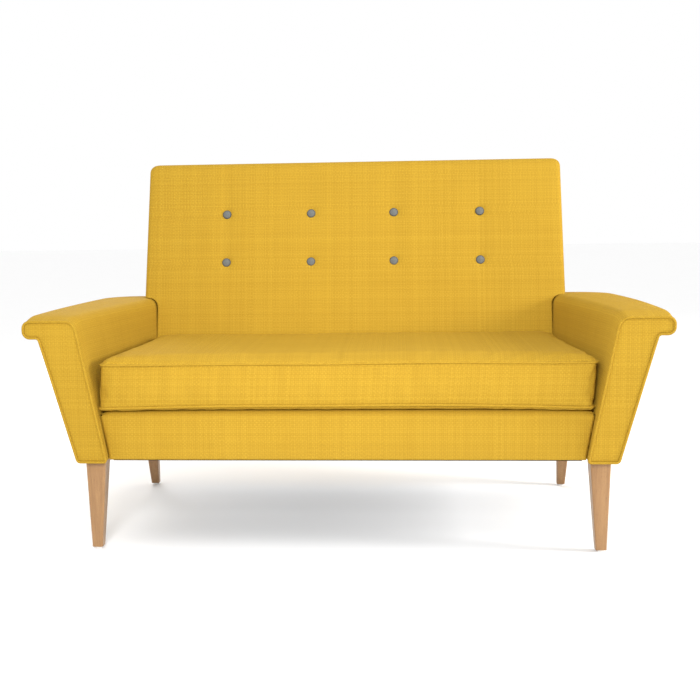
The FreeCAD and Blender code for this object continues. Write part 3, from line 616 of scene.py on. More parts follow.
# ---------------------------------------------------------------- arms
def arm_corners(depth, edge_radius):
    """Corners of the arm's outline at each depth, anticlockwise from the inner foot.

    The inner face twists towards upright, the outer face tapers in, and near the rear end the
    outer side turns in along a quarter ellipse while the top rolls down.
    """
    twist = np.minimum(depth / ARM_MEETS_BACK, 1.0)
    turned = np.maximum(depth - ARM_CORNER_START, 0.0) / (ARM_END + 3 * MM - ARM_CORNER_START)
    pulled = 1.0 - np.sqrt(1.0 - turned ** 2)
    taper = ARM_TAPER * depth / ARM_END
    rise = np.sin(np.minimum(depth / ARM_RISE, 1.0) * np.pi / 2)
    top = ARM_TOP_FRONT + (ARM_TOP - ARM_TOP_FRONT) * rise
    top = top - ARM_TOP_ROLL * (1.0 - quarter_round(ARM_END - depth, ARM_TOP_ROLL))
    lip = ARM_LIP - taper
    neck = ARM_NECK - taper
    lip = lip + (ARM_CORNER_X - lip) * pulled
    neck = neck + (ARM_CORNER_X - neck) * pulled
    foot = ARM_OUTER_FOOT + (ARM_CORNER_X - ARM_OUTER_FOOT) * pulled
    room = lip - neck
    lip_radius = np.minimum(18.5 * MM, 0.45 * room)
    lip_under = np.minimum(ARM_LIP_UNDER, top - 2.05 * lip_radius)
    inner_top = ARM_INNER_TOP + (ARM_INNER_REAR - ARM_INNER_TOP) * twist
    inner_foot = ARM_INNER_FOOT + (ARM_INNER_REAR - ARM_INNER_FOOT) * twist
    low = np.full_like(depth, UNDERSIDE)
    corners = ((inner_foot, low, 5 * MM), (foot, low, 9 * MM),
               (neck, lip_under, np.minimum(9 * MM, 0.3 * room)), (lip, lip_under, lip_radius),
               (lip, top, lip_radius), (inner_top, top, edge_radius))
    rows = [np.stack(np.broadcast_arrays(*corner), axis=-1) for corner in corners]
    return np.stack(rows, axis=1)


def arm_depths():
    """Depths of the arm's outlines: close together at the front edge and the rear corner."""
    front = 3.5 * MM + np.linspace(0, 1, 14) ** 1.6 * 60 * MM
    middle = np.linspace(0.07, ARM_CORNER_START, 66)
    rear = np.sin(np.linspace(0.06, 1, 26) * np.pi / 2) * (ARM_END - ARM_CORNER_START)
    return np.concatenate([front, middle, ARM_CORNER_START + rear])


def arm_grid(side, sizes):
    """The arm's cloth: its outline carried back along the depth, closed at both ends.

    The top swells by the crown times sin(pi s^0.75), where s goes from 0 to 1 along the arm.
    """
    depth = arm_depths()
    from_end = np.minimum(depth, ARM_END - depth)
    pad = sizes.arm_padding * np.clip(from_end / ARM_PAD_FADE, 0.0, 1.0)
    bulges = np.stack([0 * pad, 0.7 * pad, 0 * pad, 0 * pad, 0.6 * pad, pad], axis=1)
    outline = rounded_loop(arm_corners(depth, sizes.arm_edge), ARC_POINTS - 1, ARM_RUNS, bulges)
    share = depth[:, None] / ARM_END
    x, z = outline[..., 0], outline[..., 1]
    upper = np.clip((z - ARM_LIP_UNDER) / (ARM_TOP - ARM_LIP_UNDER), 0.0, 1.0)
    crown = ARM_FULLNESS[side] * sizes.arm_crown * np.sin(np.pi * share ** 0.75)
    z = z + crown * upper ** 2
    y = FRONT + depth[:, None] + BACK_REAR_RAKE * share * (z - ARM_TOP)
    grid = np.stack([side * x, y, z], axis=-1)
    around = lengths_along(outline)
    around = around - around[:, INNER_EDGE:INNER_EDGE + 1]
    backwards = lengths_along(grid.swapaxes(0, 1)).swapaxes(0, 1)
    front_centre = np.array([side * ARM_STAR_X, FRONT + depth[0], ARM_STAR_Z])
    rear_y = FRONT + ARM_END + BACK_REAR_RAKE * (ARM_REAR_STAR_Z - ARM_TOP)
    rear_centre = np.array([side * ARM_REAR_STAR_X, rear_y, ARM_REAR_STAR_Z])
    return [(grid, np.stack([backwards, around], axis=-1)), star_cap(grid[0], front_centre),
            star_cap(grid[-1], rear_centre)]


def facing_grid(side, sizes):
    """The arm's front panel: nested outlines that swell forward from the seam, then flatten."""
    corners = arm_corners(np.zeros(1), sizes.arm_edge)[0]
    seam = 2.2 * MM
    rings = []
    for inset in np.array([0.0, 0.6, 1.5, 3.0, 5.0, 8.0, 11.0, 14.0]) * MM:
        corners_here = inset_corners(corners, seam + inset)
        ring = rounded_loop(corners_here[None], ARC_POINTS - 1, ARM_RUNS)[0]
        rise = sizes.facing_padding * (1.0 - np.exp(-inset / (3.5 * MM)))
        y = np.full(len(ring), FRONT + 4.0 * MM - rise)
        rings.append(np.stack([ring[:, 0], y, ring[:, 1]], -1))
    centre = np.array([ARM_STAR_X, rings[-1][0, 1], ARM_STAR_Z])
    shares = (0.85, 0.7, 0.55, 0.4, 0.25, 0.1, 0.0)
    rings += [centre + (rings[-1] - centre) * share for share in shares]
    rear = rings[0] + np.array([0.0, 1.5 * MM, 0.0])
    rear_centre = centre * np.array([1.0, 0.0, 1.0]) + np.array([0.0, rear[0, 1], 0.0])
    grid = np.stack([0 * rear + rear_centre, rear] + rings)
    grid = grid * np.array([side, 1.0, 1.0])
    return [(grid, grid[..., [0, 2]])]


def arm_piping_grid(side, sizes):
    """Piping round the facing: a tube along the outline, just behind the front panel."""
    corners = arm_corners(np.full(1, 1 * MM), sizes.arm_edge)[0]
    loop = rounded_loop(inset_corners(corners, 0.4 * MM)[None], 10, ARM_RUNS)[0]
    path = np.stack([side * loop[:, 0], 0 * loop[:, 0] + FRONT + 2.4 * MM, loop[:, 1]], axis=-1)
    return [tube(path, sizes.piping, (0.0, 1.0, 0.0))]


def between_arms(depth, z, gap):
    """Half width between the arms' inner faces, less a gap, at a depth and a height."""
    twist = np.minimum(depth / ARM_MEETS_BACK, 1.0)
    foot = ARM_INNER_FOOT + (ARM_INNER_REAR - ARM_INNER_FOOT) * twist
    top = ARM_INNER_TOP + (ARM_INNER_REAR - ARM_INNER_TOP) * twist
    return foot + (top - foot) * (z - UNDERSIDE) / (ARM_TOP - UNDERSIDE) - gap


# ---------------------------------------------------------------- back
def back_half_width(z):
    """Half width of the back at a height.

    It is narrow between the arms, follows the round of their inner top edge out to its full
    width, and is rounded in at the top corners along a circle.
    """
    taper = (z - BACK_STEP) / (TOP - BACK_STEP)
    wide = BACK_WIDE + (BACK_WIDE_TOP - BACK_WIDE) * taper
    flare = BACK_TUCK + BACK_EDGE * (1.0 - quarter_round(BACK_STEP - z, BACK_EDGE))
    half = np.where(z > BACK_STEP, wide, flare)
    return half - BACK_CORNER * (1.0 - quarter_round(TOP - z, BACK_CORNER))


def button_dimples(x, z, pull):
    """How deep the cloth is pulled in at a point of the back's face.

    Each button makes a narrow cone with a wide skirt, and a faint upright furrow runs through
    each column of buttons up to the top edge.
    """
    cone, skirt, furrow_width = 13 * MM, 45 * MM, 26 * MM
    furrow_foot = BUTTON_ROWS[0] - 41 * MM
    above = np.clip((z - furrow_foot) / 0.05, 0.0, 1.0)
    reach = above * np.clip((TOP + 0.01 - z) / 0.06, 0.0, 1.0)
    depth = np.zeros_like(x)
    for column in BUTTON_COLUMNS:
        for row in BUTTON_ROWS:
            far = np.hypot(x - column, z - row)
            depth += pull * 0.75 * np.exp(-(far / cone) ** 2)
            depth += pull * 0.25 * np.exp(-(far / skirt) ** 2)
        depth += pull * 0.32 * np.exp(-((x - column) / furrow_width) ** 2) * reach
    return depth


def back_levels():
    """Heights of the inside back's outlines: close together at its step and its top edge."""
    quarter = np.pi / 2
    return np.concatenate([
        np.linspace(BACK_FOOT, BACK_STEP - BACK_EDGE - 2 * MM, 40),
        BACK_STEP - BACK_EDGE * (1 - np.sin(np.linspace(0, 1, 12) * quarter)),
        [BACK_STEP + 0.5 * MM, BACK_STEP + 3 * MM],
        np.linspace(BACK_STEP + 7 * MM, TOP - BACK_CORNER, 84),
        TOP - BACK_CORNER + np.sin(np.linspace(0.06, 1, 16) * quarter) * BACK_CORNER])


def back_relief(x, z, sizes):
    """How far the front of the back is set in at a point: buttons in, padding out.

    The padding's swell fades out towards both sides, 60 mm from the top and above the seat.
    """
    across = np.clip(1.0 - (x / (BACK_WIDE_TOP - 8 * MM)) ** 2, 0.0, 1.0)
    up = np.clip((TOP - z) / 0.06, 0.0, 1.0) * np.clip((z - 0.46) / 0.08, 0.0, 1.0)
    swell = sizes.back_padding * across ** 0.5 * np.sqrt(up)
    uneven = 0.5 * MM * slow_wave(x, z, 1.3) * across
    return button_dimples(x, z, sizes.button_pull) - swell - uneven


def back_grid(sizes):
    """The inside back: level outlines stacked up the lean, closed along the top and foot."""
    z = back_levels()
    half = back_half_width(z)
    tuck = BACK_ROLL * (1.0 - quarter_round(TOP - z, BACK_ROLL))
    near = FRONT + back_front(z) + tuck
    far = FRONT + back_rear(z) - 3 * MM - 0.6 * tuck
    soft = np.where(z > BACK_STEP, 13 * MM, 5 * MM)
    tight = np.full_like(z, 5 * MM)
    corners = ((-half, near, soft), (half, near, soft), (half, far, tight), (-half, far, tight))
    corners = np.stack([np.stack(corner, -1) for corner in corners], axis=1)
    outline = rounded_loop(corners, ARC_POINTS - 1, BACK_RUNS)
    x, y = outline[..., 0], outline[..., 1]
    level = np.broadcast_to(z[:, None], x.shape)
    on_front = np.clip((near[:, None] + 6 * MM - y) / (6 * MM), 0.0, 1.0)
    grid = np.stack([x, y + on_front * back_relief(x, level, sizes), level], axis=-1)
    middle = 0.5 * (near + far)
    ends = [np.stack([x[row], 0 * x[row] + middle[row], level[row]], -1) for row in (0, -1)]
    grid = np.concatenate([ends[0][None], grid, ends[1][None]])
    around = lengths_along(grid[..., :2])
    front_middle = ARC_POINTS + BACK_RUNS[0] // 2
    cloth_map = np.stack([around - around[:, front_middle:front_middle + 1], grid[..., 2]], -1)
    cloth_map[0], cloth_map[-1] = cloth_map[1], cloth_map[-2]
    cloth_map[0, :, 1] -= 0.04
    cloth_map[-1, :, 1] += 0.04
    return [(grid, cloth_map)]


def panel_outline(inset):
    """Front view of the outside back panel: narrow below the arms' tops and wide above."""
    wide, wide_top, tuck = BACK_WIDE - inset, BACK_WIDE_TOP - inset, BACK_TUCK + 1.5 * MM - inset
    low, step, top = UNDERSIDE + inset, BACK_STEP + 2 * MM + inset, TOP - inset
    right = [(tuck, low, 4 * MM), (tuck, step, 3 * MM), (wide, step, 8 * MM),
             (wide_top, top, BACK_CORNER)]
    left = [(-x, z, radius) for x, z, radius in reversed(right)]
    return np.array(left + right)[None]


def outside_back_grid():
    """The outside back: nested outlines rising from a folded edge to a taut face."""
    runs = (120, 60, 4, 60, 120, 60, 4, 60)
    centre = np.array([0.0, 0.60])
    profile = ((1.5, 0.0), (0.8, 1.0), (1.1, 2.0), (2.4, 2.8), (5.0, 3.1), (20.0, 3.0))
    rings = []
    for inset, rise in profile:
        loop = rounded_loop(panel_outline(inset * MM), 8, runs)[0]
        rings.append((loop, rise * MM))
    last, face_rise = rings[-1]
    for share in np.linspace(0.95, 0.0, 24):
        rings.append((centre + (last - centre) * share, face_rise))
    base = rings[0][0]
    rings.insert(0, (centre + 0 * base, 0.0))
    grid = np.stack([np.stack([loop[:, 0], FRONT + back_rear(loop[:, 1]) - PANEL_BEHIND + rise,
                               loop[:, 1]], axis=-1) for loop, rise in rings])
    return [(grid, grid[..., [0, 2]])]


# ---------------------------------------------------------------- buttons
def button_grid(column, row, sizes):
    """A covered button: rings of a domed profile, gathered slightly towards the rim."""
    radius = np.array([0.0, 3.0, 6.0, 8.8, 10.8, 12.0, 12.5, 12.2, 11.0, 6.0, 0.0]) * MM
    height = np.array([5.0, 4.8, 4.1, 3.1, 1.9, 0.6, -0.9, -2.2, -3.0, -3.2, -3.2]) * MM
    angle = np.linspace(0.0, 2 * np.pi, 49)
    gather = 0.22 * MM * np.cos(14 * angle)[None, :] * (radius / BUTTON_RADIUS)[:, None] ** 3
    reach = radius[:, None] + gather * (radius > 0)[:, None]
    out = unit(np.array([0.0, -1.0, BACK_FRONT_RAKE]))
    across = np.array([1.0, 0.0, 0.0])
    upwards = np.cross(across, out) * -1.0
    sink = sizes.button_pull * 0.85 - sizes.back_padding
    seat = np.array([column, FRONT + back_front(row), row]) - out * sink
    flat = (across * np.cos(angle)[:, None] + upwards * np.sin(angle)[:, None])[None]
    grid = seat + flat * reach[..., None] + out * height[:, None, None]
    cloth_map = np.stack([reach * np.cos(angle), reach * np.sin(angle)], axis=-1)
    return grid, cloth_map


# ---------------------------------------------------------------- seat cushion
def round_corners(a, b, half_a, half_b, radius):
    """Moves the points of a rectangle's grid so that its corners are round.

    Within a corner's square, (p, q) goes to (p sqrt(1 - q q / 2), q sqrt(1 - p p / 2)), which
    turns the square into a quarter disc.
    """
    p = np.clip((np.abs(a) - (half_a - radius)) / radius, 0.0, 1.0)
    q = np.clip((np.abs(b) - (half_b - radius)) / radius, 0.0, 1.0)
    new_p = p * np.sqrt(1.0 - q ** 2 / 2.0)
    new_q = q * np.sqrt(1.0 - p ** 2 / 2.0)
    return a + np.sign(a) * (new_p - p) * radius, b + np.sign(b) * (new_q - q) * radius


def cushion_plan(s, t, z):
    """Plan of the cushion: s runs from side to side and t from front to back, both -1 to 1.

    The sides draw in towards the back, the rear edge stays clear of the leaning back, and the
    top sits a little further to the right than the foot.
    """
    rear = back_front(z) - CUSHION_BACK_GAP
    half_depth = (rear - CUSHION_FRONT_DEPTH) / 2.0
    half_width = (CUSHION_FRONT_HALF + CUSHION_REAR_HALF) / 2.0
    a, b = round_corners(s * half_width, t * half_depth, half_width, half_depth, CUSHION_CORNER)
    narrowing = (CUSHION_REAR_HALF - CUSHION_FRONT_HALF) / 2.0
    skew = CUSHION_SKEW * ((z - FOOT_SEAM) / (TOP_SEAM - FOOT_SEAM) - 0.4)
    x = a * (1.0 + narrowing * (b / half_depth) / half_width) + skew
    y = FRONT + CUSHION_FRONT_DEPTH + half_depth + b
    return x, y


def seam_height(level, s, t):
    """Height of a piped seam: level, with slow waves. The foot seam also bows upwards."""
    wave = 1.6 * MM * np.sin(2.6 * s + 0.6) + 0.8 * MM * np.sin(7.3 * s + 1.1 * t)
    if level == TOP_SEAM:
        return level + 0.7 * wave
    return level + 0.6 * wave + 5.5 * MM * (1.0 - np.abs(s) ** 3) - 1.5 * MM


def eased(count, pull=0.75):
    """Numbers from -1 to 1 that crowd a little towards both ends."""
    even = np.linspace(-1.0, 1.0, count)
    return (1 - pull) * even + pull * np.sin(even * np.pi / 2)


def edge_loop():
    """Parameters (s, t) once round the cushion's edge, in the order of its panel's grid."""
    s, t = eased(CUSHION_COLUMNS), eased(CUSHION_ROWS)
    one = np.ones_like
    return np.concatenate([
        np.stack([s, -one(s)], -1)[:-1], np.stack([one(t), t], -1)[:-1],
        np.stack([s[::-1], one(s)], -1)[:-1], np.stack([-one(t), t[::-1]], -1)])


def cushion_patches(sizes):
    """Top, border and bottom panels of the cushion, which meet at the two piped seams."""
    s, t = np.meshgrid(eased(CUSHION_COLUMNS), eased(CUSHION_ROWS), indexing="ij")
    side_edge = CUSHION_FRONT_HALF * (1 - np.abs(s))
    end_edge = CUSHION_HALF_DEPTH * (1 - np.abs(t))
    dome = quarter_round(side_edge, CUSHION_SWELL) * quarter_round(end_edge, CUSHION_SWELL)
    top_z = seam_height(TOP_SEAM, s, t)
    x, y = cushion_plan(s, t, top_z)
    top = np.stack([x, y, top_z + sizes.cushion_crown * dome], axis=-1)
    foot_z = seam_height(FOOT_SEAM, s, t)
    x, y = cushion_plan(s, t, foot_z)
    drop = quarter_round(np.minimum(side_edge, end_edge), CUSHION_ROLL)
    drop = drop * (foot_z - CUSHION_FOOT - 0.3 * MM)
    side_share = np.clip(side_edge / CUSHION_ROLL, 0.0, 1.0)
    end_share = np.clip(end_edge / CUSHION_ROLL, 0.0, 1.0)
    x = x + CUSHION_ROLL_OUT * np.sign(s) * np.sin(np.pi * side_share)
    y = y + CUSHION_ROLL_OUT * np.sign(t) * np.sin(np.pi * end_share)
    bottom = np.stack([x, y, foot_z - drop], axis=-1)
    loop = edge_loop()
    share = np.linspace(0.0, 1.0, BORDER_ROWS)[:, None]
    ls, lt = loop[None, :, 0], loop[None, :, 1]
    z = seam_height(FOOT_SEAM, ls, lt) * (1 - share) + seam_height(TOP_SEAM, ls, lt) * share
    x, y = cushion_plan(ls, lt, z)
    border = np.stack([x, y, z], axis=-1)
    around = lengths_along(border[:1, :, :2])
    border_map = np.stack(np.broadcast_arrays(around, z), axis=-1)
    return [(top, top[..., :2]), (bottom, bottom[..., :2]), (border, border_map)]


def seam_path(level, sizes):
    """The line of a piped seam round the cushion, a little outside the cloth."""
    loop = edge_loop()
    z = seam_height(level, loop[:, 0], loop[:, 1])
    x, y = cushion_plan(loop[:, 0], loop[:, 1], z)
    path = np.stack([x, y, z], axis=-1)
    outward = unit(np.cross(loop_direction(path), UP))
    return path + outward * 0.5 * sizes.piping


def point_array(points):
    """The places of mesh points as an array, one row for each."""
    places = np.empty(len(points) * 3, dtype=np.float64)
    points.foreach_get("co", places)
    return places.reshape(-1, 3)


def points_by_seams(places, sizes):
    """Indices of the points within 2 mm of a piped seam."""
    line = np.concatenate([seam_path(level, sizes) for level in (TOP_SEAM, FOOT_SEAM)])
    near = np.zeros(len(places), dtype=bool)
    at_once = 2000
    for start in range(0, len(places), at_once):
        block = places[start:start + at_once]
        distance = np.linalg.norm(block[:, None, :] - line[None], axis=-1).min(axis=1)
        near[start:start + at_once] = distance < 2.0 * MM
    return np.flatnonzero(near).tolist()


def blow_up(piece, held):
    """Runs the cloth simulation and returns the points' places after its last step."""
    group = piece.vertex_groups.new(name="seams")
    group.add(held, 1.0, "REPLACE")
    cloth = piece.modifiers.new("Fill", "CLOTH")
    settings = cloth.settings
    settings.quality = 6
    settings.mass = 0.25
    settings.tension_stiffness = 12.0
    settings.compression_stiffness = 12.0
    settings.shear_stiffness = 6.0
    settings.bending_stiffness = 1.5
    settings.use_pressure = True
    settings.uniform_pressure_force = 4.0
    settings.shrink_min = -0.012
    settings.effector_weights.gravity = 0.0
    settings.vertex_group_mass = group.name
    cloth.collision_settings.use_collision = False
    cloth.collision_settings.use_self_collision = False
    for step in range(1, FILL_STEPS + 1):
        bpy.context.scene.frame_set(step)
    moved = piece.evaluated_get(bpy.context.evaluated_depsgraph_get()).to_mesh()
    after = point_array(moved.vertices)
    piece.modifiers.remove(cloth)
    piece.vertex_groups.clear()
    bpy.context.scene.frame_set(1)
    return after


def fill_cushion(piece, sizes):
    """Fills a sewn cover by cloth simulation: pressure inside, no gravity, seams held.

    Each point's travel d is eased to g tanh(d / g), so that none moves further than g:
    cushion_give on the panels, border_give on the border, and little beside the zip.
    """
    rest = point_array(piece.data.vertices)
    shift = blow_up(piece, points_by_seams(rest, sizes)) - rest
    length = np.linalg.norm(shift, axis=1)
    on_border = (rest[:, 2] > BORDER_FOOT) & (rest[:, 2] < BORDER_TOP)
    by_zip = on_border & (rest[:, 1] > FRONT + BACK_FRONT_DEPTH - 60 * MM)
    limit = np.where(on_border, sizes.border_give, sizes.cushion_give)
    limit = np.where(by_zip, ZIP_GIVE, limit)
    eased_length = limit * np.tanh(length / limit)
    result = rest + shift * (eased_length / np.maximum(length, 1e-9))[:, None]
    result[:, 2] = np.maximum(result[:, 2], CUSHION_FOOT + 0.2 * MM)
    piece.data.vertices.foreach_set("co", result.reshape(-1))
    piece.data.update()


# ---------------------------------------------------------------- front border, deck, underside
def border_grid():
    """The front border: a padded section in depth and height, carried from arm to arm."""
    share = np.linspace(-1.0, 1.0, 160)
    from_end = 1.0 - np.abs(share)
    near, far = BORDER_LOW.y, BORDER_HIGH.y
    low, high = BORDER_LOW.z, BORDER_HIGH.z
    under, ledge = near + 11 * MM, high - 14 * MM
    one = np.ones_like(share)
    section = ((near, low, 6 * MM), (under, low, 2 * MM), (under, ledge, 1 * MM),
               (far, ledge, 1 * MM), (far, high, 3 * MM), (near, high, 19 * MM))
    corners = np.stack([np.stack([part * one for part in corner], -1) for corner in section], 1)
    ends = np.clip(from_end / 0.04, 0.0, 1.0)
    swell = (3.5 * MM + 0.6 * MM * np.sin(3.4 * share + 0.4)) * ends ** 0.5
    bulges = np.stack([0 * one] * 5 + [swell], axis=1)
    outline = rounded_loop(corners, ARC_POINTS - 1, (3, 24, 8, 3, 14, 34), bulges)
    y, z = outline[..., 0], outline[..., 1]
    dip = 8 * MM * (1.0 - np.clip(from_end / 0.05, 0.0, 1.0)) ** 2
    z = z - dip[:, None] * np.clip((z - ledge) / (high - ledge), 0.0, 1.0)
    x = share[:, None] * between_arms(y - FRONT, z, 1.3 * MM)
    grid = np.stack([x, y, z], axis=-1)
    patches = [(grid, np.stack([x, lengths_along(outline)], axis=-1))]
    for row in (0, -1):
        middle = np.array([x[row].mean(), near + 6 * MM, high - 7 * MM])
        cap = np.stack([grid[row], 0 * grid[row] + middle])
        patches.append((cap, cap[..., 1:]))
    return patches


def sheet_grid(low, high, columns, rows, sag, half_of=None):
    """A sheet with two faces, whose middle hangs by sag and ripples slightly.

    half_of gives the half width at each depth of a padded sheet, whose lower face stays flat.
    Without it the sheet is a thin rectangle.
    """
    u, v = np.meshgrid(np.linspace(-1, 1, columns), np.linspace(0, 1, rows), indexing="ij")
    y = low.y + (high.y - low.y) * v
    x = u * (half_of(y - FRONT) if half_of else high.x)
    taut = np.sqrt(np.clip((1.0 - u ** 2) * np.sin(np.pi * v), 0.0, 1.0))
    drop = (0.35 * MM * slow_wave(x * 2, y * 2, 0.7) - sag) * taut
    upper = np.stack([x, y, high.z + drop], axis=-1)
    lower = np.stack([x, y, low.z + (0 * drop if half_of else drop)], axis=-1)
    return two_sided(upper, lower, [0, 1])


def staple_grids():
    """Staples round the dust cover: square wire staples, pressed almost flat."""
    margin, spacing, thick = 9 * MM, 42 * MM, 0.45 * MM
    low_x, low_y = DUST_LOW.x + margin, DUST_LOW.y + margin
    high_x, high_y = DUST_HIGH.x - margin, DUST_HIGH.y - margin
    spots = [(x, y, True) for y in (low_y, high_y) for x in np.arange(low_x, high_x, spacing)]
    spots += [(x, y, False) for x in (low_x, high_x)
              for y in np.arange(low_y + spacing, high_y, spacing)]
    angle = np.linspace(0, 2 * np.pi, 5) + np.pi / 4
    along = np.array([-5.0, -5.0, -4.6, 4.6, 5.0, 5.0])[:, None] * MM + 0 * angle
    drop = np.array([0.9, 0.2, -0.25, -0.25, 0.2, 0.9])[:, None] * MM
    side = thick * np.cos(angle) + 0 * along
    z = DUST_LOW.z + drop + thick * np.sin(angle)
    grids = []
    for x, y, level in spots:
        points = np.stack([x + along, y + side, z] if level else [x + side, y + along, z], -1)
        grids.append((points, points[..., :2]))
    return grids


# ---------------------------------------------------------------- springs
def spring_grids():
    """Zigzag springs: a round wire along straight runs joined by half circles."""
    wire, half = 1.9 * MM, 25 * MM
    count, runs = 7, 16
    start = SPRINGS_LOW.y + wire
    pitch = (SPRINGS_HIGH.y - wire - start) / runs
    straight = half - pitch / 2
    bends = np.linspace(0, np.pi, 11)[1:-1]
    points = []
    for run in range(runs + 1):
        way = 1.0 if run % 2 == 0 else -1.0
        y = start + run * pitch
        points += [(-way * straight, y), (0.0, y), (way * straight, y)]
        if run < runs:
            arc_x = way * (straight + np.sin(bends) * pitch / 2)
            points += list(zip(arc_x, y + pitch / 2 - np.cos(bends) * pitch / 2))
    line = np.array(points)
    z = np.full(len(line), 0.5 * (SPRINGS_LOW.z + SPRINGS_HIGH.z))
    inset = half + wire
    return [open_tube(np.stack([x + line[:, 0], line[:, 1], z], axis=-1), wire)
            for x in np.linspace(SPRINGS_LOW.x + inset, SPRINGS_HIGH.x - inset, count)]


# ---------------------------------------------------------------- zip
def zip_grid():
    """The zip: a tape with a row of teeth, a ridge of small rounded blocks along its middle."""
    gx, gz = np.meshgrid(np.linspace(ZIP_LOW.x, ZIP_HIGH.x, 861),
                         np.linspace(ZIP_LOW.z, ZIP_HIGH.z, 17), indexing="ij")
    middle = 0.5 * (ZIP_LOW.z + ZIP_HIGH.z)
    near_teeth = np.exp(-((gz - middle) / (2.4 * MM)) ** 6)
    tooth = 0.5 + 0.5 * np.sign(np.sin(2 * np.pi * gx / (4 * MM)))
    face = FRONT + back_front(gz) - 8 * MM
    outer = face + 0.5 * MM + near_teeth * (0.25 + 0.55 * tooth) * MM
    front = np.stack([gx, outer, gz], axis=-1)
    back = np.stack([gx, face - 0.3 * MM, gz], axis=-1)
    return two_sided(front, back, [0, 2])


# ---------------------------------------------------------------- shared finishes
def shared(name, make, *values, **options):
    """A material that several operators use: found by its name, or made now."""
    return bpy.data.materials.get(name) or make(name, *values, **options)


def yellow_cloth(sizes, colours):
    """The sofa's cloth."""
    return shared("yellow_hopsack", cloth_material, tuple(colours.cloth),
                  tuple(colours.cloth_light), sizes.thread)


def bias_cloth(sizes, colours):
    """The same cloth cut on the cross, for piping."""
    return shared("yellow_hopsack_bias", cloth_material, scaled(colours.cloth, 0.94),
                  scaled(colours.cloth_light, 0.94), sizes.thread, turn=math.radians(45),
                  relief=0.35 * MM)


def lining_cloth(colours):
    """The black lining of the deck and the dust cover."""
    return shared("black_lining", lining_material, tuple(colours.lining), 0.9 * MM)


def finish_nodes(names, material):
    """Gives CAD nodes that keep their shape a finish."""
    for name in names:
        node = frame["nodes"][name]
        node.data.materials.clear()
        node.data.materials.append(material)


# ---------------------------------------------------------------- operators
class SofaOperator:
    """What the operators share: each builds from the scene's sizes and colours."""
    bl_options = {"REGISTER", "UNDO"}

    def execute(self, context):
        self.build(context.scene.sofa_sizes, context.scene.sofa_colours)
        return {"FINISHED"}


class SOFA_OT_arms(SofaOperator, bpy.types.Operator):
    """Cover both arms, with their front facings and the piping round them"""
    bl_idname = "sofa.arms"
    bl_label = "Arms"

    def build(self, sizes, colours):
        cloth, bias = yellow_cloth(sizes, colours), bias_cloth(sizes, colours)
        for word, side in SIDES:
            arm = new_piece("arm_upholstery_" + word, arm_grid(side, sizes), cloth,
                            stands_for=("arm_cover_" + word, "arm_foam_" + word))
            new_piece("arm_front_panel_" + word, facing_grid(side, sizes), cloth,
                      stands_for=("arm_facing_" + word,))
            new_piece("arm_front_piping_" + word, arm_piping_grid(side, sizes), bias,
                      stands_for=("arm_piping_" + word,))


class SOFA_OT_back(SofaOperator, bpy.types.Operator):
    """Pad and cover the inside back, and close the outside back with its panel"""
    bl_idname = "sofa.back"
    bl_label = "Back"

    def build(self, sizes, colours):
        cloth = yellow_cloth(sizes, colours)
        back = new_piece("back_upholstery", back_grid(sizes), cloth,
                         stands_for=("inside_back_cover", "back_foam"))
        new_piece("outside_back_cloth", outside_back_grid(), cloth,
                  stands_for=("outside_back_panel",))


class SOFA_OT_buttons(SofaOperator, bpy.types.Operator):
    """Set the two rows of covered buttons into the back"""
    bl_idname = "sofa.buttons"
    bl_label = "Buttons"

    def build(self, sizes, colours):
        grey = tuple(colours.button)
        cloth = cloth_material("grey_button_cloth", grey, scaled(grey, 1.5), 1.3 * MM,
                               relief=0.25 * MM, rim=BUTTON_RADIUS)
        grids = [button_grid(column, row, sizes) for row in BUTTON_ROWS
                 for column in BUTTON_COLUMNS]
        new_piece("covered_buttons", grids, cloth, stands_for=("back_buttons",))


class SOFA_OT_cushion(SofaOperator, bpy.types.Operator):
    """Sew and fill the loose seat cushion, and pipe its two seams"""
    bl_idname = "sofa.cushion"
    bl_label = "Seat cushion"

    def build(self, sizes, colours):
        cloth, bias = yellow_cloth(sizes, colours), bias_cloth(sizes, colours)
        cushion = new_piece("seat_cushion_cover", cushion_patches(sizes), cloth,
                            body="seat_cushion", stands_for=("cushion_cover", "cushion_foam"))
        fill_cushion(cushion, sizes)
        smooth = cushion.modifiers.new("Smooth", "SUBSURF")
        smooth.levels = 1
        smooth.render_levels = 1
        for level, name, node in ((TOP_SEAM, "cushion_top_piping", "cushion_piping_top"),
                                  (FOOT_SEAM, "cushion_foot_piping", "cushion_piping_foot")):
            path = seam_path(level, sizes)
            new_piece(name, [tube(path, sizes.piping, (0.0, 0.0, 1.0))], bias,
                      body="seat_cushion", stands_for=(node,))


class SOFA_OT_zip(SofaOperator, bpy.types.Operator):
    """Set the zip into the rear border of the cushion"""
    bl_idname = "sofa.zip"
    bl_label = "Zip"

    def build(self, sizes, colours):
        tape = cloth_material("zip_tape_cloth", scaled(colours.cloth, 0.7),
                              scaled(colours.cloth_light, 0.8), 0.8 * MM, relief=0.12 * MM)
        new_piece("zip_tape", zip_grid(), tape, body="seat_cushion",
                  stands_for=("cushion_zip_tape",))
        finish_nodes(["zip_slider"], metal_material("nickel_slider", (0.6, 0.59, 0.56), 0.35))


